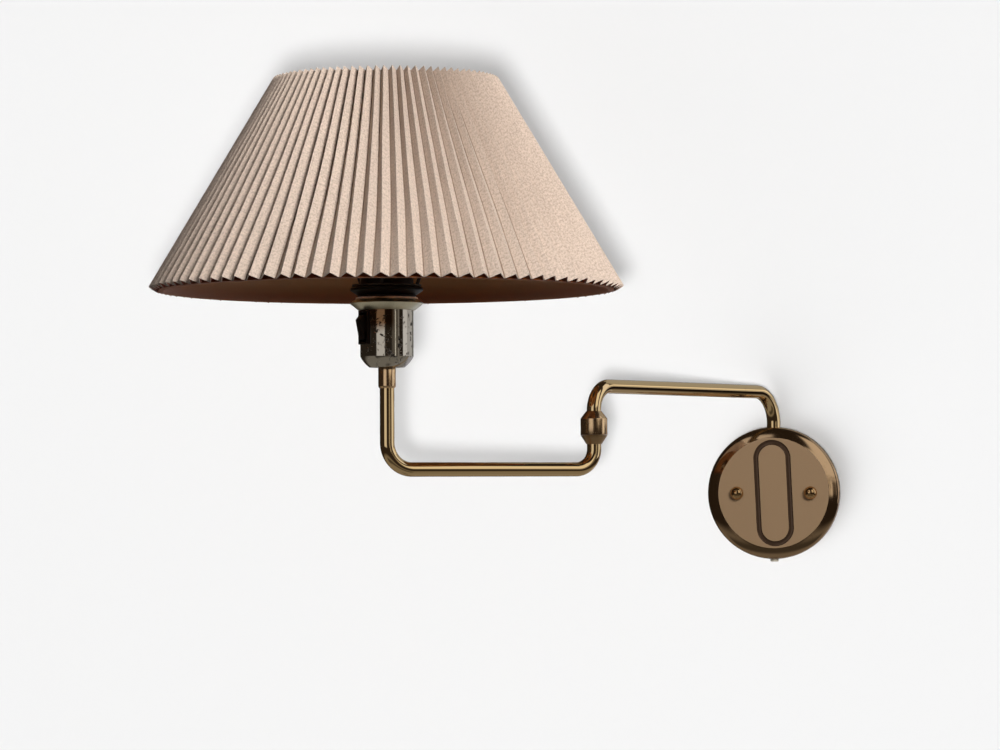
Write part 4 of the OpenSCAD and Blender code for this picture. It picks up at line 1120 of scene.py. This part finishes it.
class WALL_LIGHT_OT_cover(PieceOperator, bpy.types.Operator):
    """Pleated linen cover of the shade"""
    bl_idname = "wall_light.cover"
    bl_label = "Pleated cover"

    # Place across one pleat and its share of the depth, from ridge to ridge
    FOLD = ((0.0, 0.045), (0.05, 0.115), (0.20, 0.40), (0.35, 0.70), (0.46, 0.915),
            (0.5, 0.975), (0.54, 0.915), (0.65, 0.70), (0.80, 0.40), (0.95, 0.115))
    # Share of its flat rectangle that the cloth fills: its pleats are narrower at the top
    LAID_SHARE = 0.905

    def make(self, s):
        slope = Slope(s)
        points = len(self.FOLD)
        columns, rows = s.pleats * points, 14
        bm = bmesh.new()
        sheet = bm.loops.layers.uv.new("sheet")
        bmesh.ops.create_grid(
            bm, x_segments=columns, y_segments=rows, size=1.0, calc_uvs=True)
        for v in bm.verts:
            column = round((v.co.x + 1) / 2 * columns)
            v.co = self.place(s, slope, column, (v.co.y + 1) / 2)
        sheet_w = self.sheet_width(s)
        laid = self.laid_out(s)
        for face in bm.faces:
            for loop in face.loops:
                u, w = loop[sheet].uv
                pleat, step = divmod(round(u * columns), points)
                loop[sheet].uv = ((pleat + laid[step]) * sheet_w / s.pleats, w * slope.slant)
        bmesh.ops.remove_doubles(bm, verts=bm.verts, dist=SAME_PLACE)
        if sum(map(self.outwards, bm.faces)) < 0:
            bmesh.ops.reverse_faces(bm, faces=bm.faces)
        outer = set(bm.faces)
        bmesh.ops.solidify(bm, geom=bm.faces[:], thickness=s.cloth_t)
        for face in bm.faces:
            if face not in outer and self.outwards(face) < 0:
                face.material_index = 1
        bm.transform(Matrix.Translation(SHADE_AXIS))
        cover = add_piece("pleated_cover", bm, "shade", "shade_cover", "shade_fabric",
                          ["pleat_cloth", "pleat_inside"], smooth=32)

    @staticmethod
    def outwards(face):
        """How much a face looks away from the shade's axis."""
        return face.normal.dot(face.calc_center_median().to_2d().to_3d())

    @staticmethod
    def sheet_width(s):
        pitch = 2 * pi * s.shade_bottom_r / s.pleats
        return s.pleats * 2 * hypot(pitch / 2, s.pleat_depth)

    def laid_out(self, s):
        """How far each point of the fold lies along one pleat of the flat sheet."""
        pitch = 2 * pi * s.shade_bottom_r / s.pleats
        corners = [Vector((across * pitch, share * s.pleat_depth))
                   for across, share in (*self.FOLD, (1.0, self.FOLD[0][1]))]
        ran = [0.0]
        for a, b in zip(corners, corners[1:]):
            ran.append(ran[-1] + (b - a).length)
        return [place / ran[-1] for place in ran]

    def place(self, s, slope, column, climb):
        """Where a point of the folded sheet lies; climb is 0 at the bottom edge."""
        pleat, step = divmod(column, len(self.FOLD))
        pleat %= s.pleats
        across, share = self.FOLD[step]
        sway, deeper, edge = self.wander(pleat, climb)
        next_sway = self.wander((pleat + 1) % s.pleats, climb)[0]
        sway = sway * (1 - across) + next_sway * across
        leaning = s.pleat_lean * share * min(1.0, 3 * climb)
        turn = s.pleat_phase + 2 * pi * (pleat + across + leaning) / s.pleats + sway
        depth = s.pleat_depth * share * (1 + deeper * share)
        up = slope.slant * climb + edge * (1 - 2 * climb)
        radius, height = slope.at(up, depth)
        return Vector((radius * cos(turn), radius * sin(turn), height))

    @staticmethod
    def wander(pleat, climb):
        """Small irregularities of one pleat: a sway, a depth and an edge."""
        most_sway, most_depth, most_edge = radians(0.55), 0.06, 0.5 * MM
        at = Vector((pleat * 7.31, climb * 1.7, 0.5))
        sway = noise.noise(at) * most_sway
        depth = noise.noise(at + Vector((0, 3, 9))) * most_depth - 0.02
        edge = noise.noise(Vector((pleat * 3.7, 20.5, 4.2))) * most_edge
        return sway, depth, edge


class WALL_LIGHT_OT_inner_parts(PieceOperator, bpy.types.Operator):
    """Finishes the parts that stay as they are, most of them hidden"""
    bl_idname = "wall_light.inner_parts"
    bl_label = "Inner parts"

    FINISHES = {
        "zinc_steel": "back_plate plate_studs housing_screws terminal_screws clamp_screws "
                      "pivot_spring_washer elbow_spring_washer rocker_pin",
        "dull_brass": "pivot_housing thrust_collar pivot_nut elbow_bush elbow_nut holder_nut "
                      "earth_screw",
        "nylon": "pivot_washer terminal_block cord_clamp",
        "cable_sheath": "inlet_wiring lower_wiring holder_leads",
        "ceramic": "contact_insert",
        "contact_brass": "centre_contact",
        "brown_phenolic": "switch_box",
        "painted_wire": "fitter_ring shade_arms",
    }

    def make(self, s):
        finish_solids({node: finish for finish, nodes in self.FINISHES.items()
                       for node in nodes.split()})


class WALL_LIGHT_OT_studio(bpy.types.Operator):
    """Wall, floor, reflected surroundings, lights and camera"""
    bl_idname = "wall_light.studio"
    bl_label = "Studio"
    bl_options = {"REGISTER", "UNDO"}

    EYE = Vector((0.117246, -3.229321, -0.003464))
    # Panels of the surroundings by direction, in degrees, each over those before it: left,
    # right, bottom, top, width of the soft edge and colour
    PANELS = (
        (-180, 180, -90, -22, 10, (0.235, 0.21, 0.17)),
        (95, 220, -90, -20, 25, (0.28, 0.255, 0.225)),
        (-60, 60, -54, -30, 8, (0.07, 0.06, 0.045)),
        (-39, -2, -9, 46, 3, (0.70, 0.66, 0.60)),
        (24, 62, -3, 12, 5, (0.13, 0.11, 0.085)),
        (39, 44, -3, 9, 1.5, (0.95, 0.88, 0.74)),
        (53, 60, -3, 9, 2, (0.30, 0.27, 0.23)),
        (26, 66, 7, 52, 4, (0.85, 0.79, 0.68)),
        (104, 220, -8, 60, 6, (0.20, 0.19, 0.17)),
        (110, 220, 20, 62, 4, (0.37, 0.365, 0.335)),
        (103, 140, 8, 22, 3, (0.95, 0.88, 0.76)),
        (104, 128, -20, 8, 3, (0.012, 0.009, 0.007)),
        (78, 106, -10, 58, 2, (0.85, 0.82, 0.78)),
        (104, 152, 0, 8, 2, (0.56, 0.54, 0.51)),
        (126, 200, -34, 2, 6, (0.46, 0.45, 0.47)),
        (-200, -150, -30, 60, 20, (0.16, 0.14, 0.12)),
    )

    def execute(self, context):
        pale = tuple(context.scene.wall_light_colours.backdrop)
        self.world(context.scene, pale)
        wall = self.wall(pale)
        self.floor(pale)
        self.surroundings()
        self.lights(wall)
        self.camera(context.scene)
        return {"FINISHED"}

    def world(self, scene, pale):
        """Pale to the camera and in reflections, a faint cool light to all else."""
        world = bpy.data.worlds.new("Studio")
        t = empty_tree(world)
        ray = t.add("ShaderNodeLightPath").outputs
        seen = t.math("MAXIMUM", ray["Is Camera Ray"], t.math(
            "MAXIMUM", ray["Is Glossy Ray"], ray["Is Transmission Ray"]))
        shown = t.add("ShaderNodeBackground", {"Color": pale, "Strength": 1.0})
        ambient = t.add("ShaderNodeBackground", {"Color": (0.97, 0.98, 1.0), "Strength": 0.07})
        t.add("ShaderNodeOutputWorld", {"Surface": t.blend(seen, ambient, shown).outputs[0]})
        scene.world = world
        scene.view_settings.view_transform = "Standard"

    def sheet(self, name, width, height, matrix, finish):
        bm = bmesh.new()
        bmesh.ops.create_grid(bm, x_segments=1, y_segments=1, size=0.5, matrix=matrix @
                              Matrix.Diagonal((width, height, 1, 1)))
        thing = add_object(name, bm, [finish])
        thing.visible_glossy = False
        return thing

    def pale_material(self, name, pale, lit, glow):
        """Matt and pale: part lit by the lamps, part shown at its own level, clear from behind."""
        material = bpy.data.materials.new(name)
        t = empty_tree(material)
        to_camera = t.add("ShaderNodeLightPath").outputs["Is Camera Ray"]
        matt = t.add("ShaderNodeBsdfDiffuse", {"Color": scaled(pale, lit)})
        shine = t.add("ShaderNodeEmission", {
            "Color": pale, "Strength": t.math("MULTIPLY", to_camera, glow)})
        both = t.add("ShaderNodeAddShader")
        for socket, shader in zip(both.inputs, (matt, shine)):
            t.put(socket, shader.outputs[0])
        behind = t.add("ShaderNodeNewGeometry").outputs["Backfacing"]
        turned = t.blend(behind, both, t.add("ShaderNodeBsdfTransparent"))
        t.add("ShaderNodeOutputMaterial", {"Surface": turned.outputs[0]})
        return material

    def wall(self, pale):
        just_behind_plate = 0.6 * MM
        upright = Matrix.Translation((-0.2, just_behind_plate, 0.0)) @ FACING_ROOM
        return self.sheet("backdrop_wall", 6.0, 4.0, upright,
                          self.pale_material("wall_paint", pale, 0.87, 0.02))

    def floor(self, pale):
        flat = Matrix.Translation((-0.2, -2.0, -1.25))
        floor = self.sheet("studio_floor", 8.0, 8.0, flat,
                           self.pale_material("floor_paint", pale, 0.75, 0.25))
        floor.visible_diffuse = False

    def surroundings(self):
        """A dome that only reflections see, with panels placed by direction."""
        dome_r = 6.0
        bm = bmesh.new()
        bmesh.ops.create_uvsphere(bm, u_segments=48, v_segments=24, radius=dome_r)
        bmesh.ops.reverse_faces(bm, faces=bm.faces)
        material = bpy.data.materials.new("surroundings")
        t = empty_tree(material)
        place = t.add("ShaderNodeTexCoord").outputs["Object"]
        part = t.split(place)
        to_degrees = 180 / pi
        ahead = t.math("MULTIPLY", part["Y"], -1.0)
        azimuth = t.math("MULTIPLY", t.math("ARCTAN2", part["X"], ahead), to_degrees)
        rise = t.math("DIVIDE", part["Z"], dome_r)
        elevation = t.math("MULTIPLY", t.math("ARCSINE", rise), to_degrees)
        light = (0.030, 0.022, 0.015)
        for left, right, bottom, top, edge, tint in self.PANELS:
            mask = use_group(
                t, "Light panel", Azimuth=azimuth, Elevation=elevation, Left=left,
                Right=right, Bottom=bottom, Top=top, Edge=edge)["Mask"]
            light = t.mix(mask, light, tint)
        shine = t.add("ShaderNodeEmission", {"Color": light, "Strength": 1.0})
        t.add("ShaderNodeOutputMaterial", {"Surface": shine.outputs[0]})
        dome = add_object("surroundings_dome", bm, [material])
        for ray in ("camera", "diffuse", "shadow", "transmission", "volume_scatter"):
            setattr(dome, "visible_" + ray, False)

    def lights(self, wall):
        """Two soft lights on the lamp, and two that reach only the wall and cast its shadows."""
        not_wall = bpy.data.collections.new("All but the wall")
        not_wall.objects.link(wall)
        not_wall.collection_objects[0].light_linking.link_state = "EXCLUDE"
        self.area("Key", 35, 20, 1.0, 95.0, not_wall)
        self.area("Fill", -20, 5, 1.6, 0.3, not_wall)
        only_wall = bpy.data.collections.new("Only the wall")
        only_wall.objects.link(wall)
        wash = bpy.data.lights.new("Wall wash", "POINT")
        wash.energy, wash.shadow_soft_size = 22.7, 0.11
        t = empty_tree(wash)
        even = t.add("ShaderNodeLightFalloff", {"Strength": 1.0}).outputs["Constant"]
        shine = t.add("ShaderNodeEmission", {"Strength": even})
        t.add("ShaderNodeOutputLight", {"Surface": shine.outputs[0]})
        beside_eye = Vector((0.043, -3.229, -0.11))
        self.lamp(wash, beside_eye, Vector((0, 0, -1)), only_wall)
        slant = bpy.data.lights.new("Plate wash", "SUN")
        slant.energy, slant.angle = 2.3, radians(60)
        lamp = self.lamp(slant, Vector(), Vector((0.8, 1.0, 0.75)), only_wall)
        near_wall = bpy.data.collections.new("Close to the wall")
        for name in ("wall_plate_dressed", "upper_arm_tube"):
            near_wall.objects.link(bpy.data.objects[name])
        lamp.light_linking.blocker_collection = near_wall

    def area(self, name, azimuth, elevation, size, power, receivers):
        """A square light that looks at the shade from a direction in degrees."""
        target, distance = Vector((HOLDER.x, HOLDER.y, FITTER_Z + 60 * MM)), 2.6
        a, e = radians(azimuth), radians(elevation)
        way = Vector((sin(a) * cos(e), -cos(a) * cos(e), sin(e)))
        data = bpy.data.lights.new(name, "AREA")
        data.energy, data.size = power, size
        lamp = self.lamp(data, target + way * distance, -way, receivers)
        lamp.visible_glossy = False

    def lamp(self, data, location, aim, receivers):
        """Places a light that shines along its aim, on its receivers alone."""
        lamp = bpy.data.objects.new(data.name, data)
        lamp.location = location
        lamp.rotation_euler = aim.to_track_quat("-Z", "Y").to_euler()
        bpy.context.scene.collection.objects.link(lamp)
        lamp.light_linking.receiver_collection = receivers
        return lamp

    def camera(self, scene):
        yaw, pitch, roll = radians(6.494), radians(1.988), radians(-0.273)
        ahead = Vector((-sin(yaw) * cos(pitch), cos(yaw) * cos(pitch), sin(pitch)))
        right = Vector((cos(yaw), sin(yaw), 0))
        up = right.cross(ahead)
        across = right * cos(roll) + up * sin(roll)
        upward = up * cos(roll) - right * sin(roll)
        data = bpy.data.cameras.new("Camera")
        data.sensor_width, data.lens, data.clip_end = 36.0, 127.71, 50.0
        camera = bpy.data.objects.new("Camera", data)
        turn = Matrix((across, upward, -ahead)).transposed().to_4x4()
        camera.matrix_world = Matrix.Translation(self.EYE) @ turn
        scene.collection.objects.link(camera)
        scene.camera = camera


class WALL_LIGHT_PT_panel(bpy.types.Panel):
    """Sizes, colours and steps of the wall light"""
    bl_label = "Wall light"
    bl_idname = "WALL_LIGHT_PT_panel"
    bl_space_type = "VIEW_3D"
    bl_region_type = "UI"
    bl_category = "Wall light"

    def draw(self, context):
        layout = self.layout
        for operator in OPERATORS:
            layout.operator(operator.bl_idname)
        for title, group in (("Sizes", context.scene.wall_light_sizes),
                             ("Colours", context.scene.wall_light_colours)):
            box = layout.box()
            box.label(text=title)
            for name in group.__annotations__:
                box.prop(group, name)


OPERATORS = (
    WALL_LIGHT_OT_studio, WALL_LIGHT_OT_wall_plate, WALL_LIGHT_OT_arms, WALL_LIGHT_OT_elbow,
    WALL_LIGHT_OT_lampholder, WALL_LIGHT_OT_skirt, WALL_LIGHT_OT_switch, WALL_LIGHT_OT_liner,
    WALL_LIGHT_OT_cover, WALL_LIGHT_OT_inner_parts,
)
CLASSES = (WallLightSizes, WallLightColours, *OPERATORS, WALL_LIGHT_PT_panel)


def register():
    for each in CLASSES:
        bpy.utils.register_class(each)
    bpy.types.Scene.wall_light_sizes = PointerProperty(type=WallLightSizes)
    bpy.types.Scene.wall_light_colours = PointerProperty(type=WallLightColours)


def unregister():
    del bpy.types.Scene.wall_light_colours
    del bpy.types.Scene.wall_light_sizes
    for each in reversed(CLASSES):
        bpy.utils.unregister_class(each)


def main():
    register()
    steps = bpy.ops.wall_light
    steps.wall_plate()
    steps.arms()
    steps.elbow()
    steps.lampholder()
    steps.skirt()
    steps.switch()
    steps.liner()
    steps.cover()
    steps.inner_parts()
    steps.studio()
    bpy.context.view_layer.update()


if __name__ == "__main__":
    main()
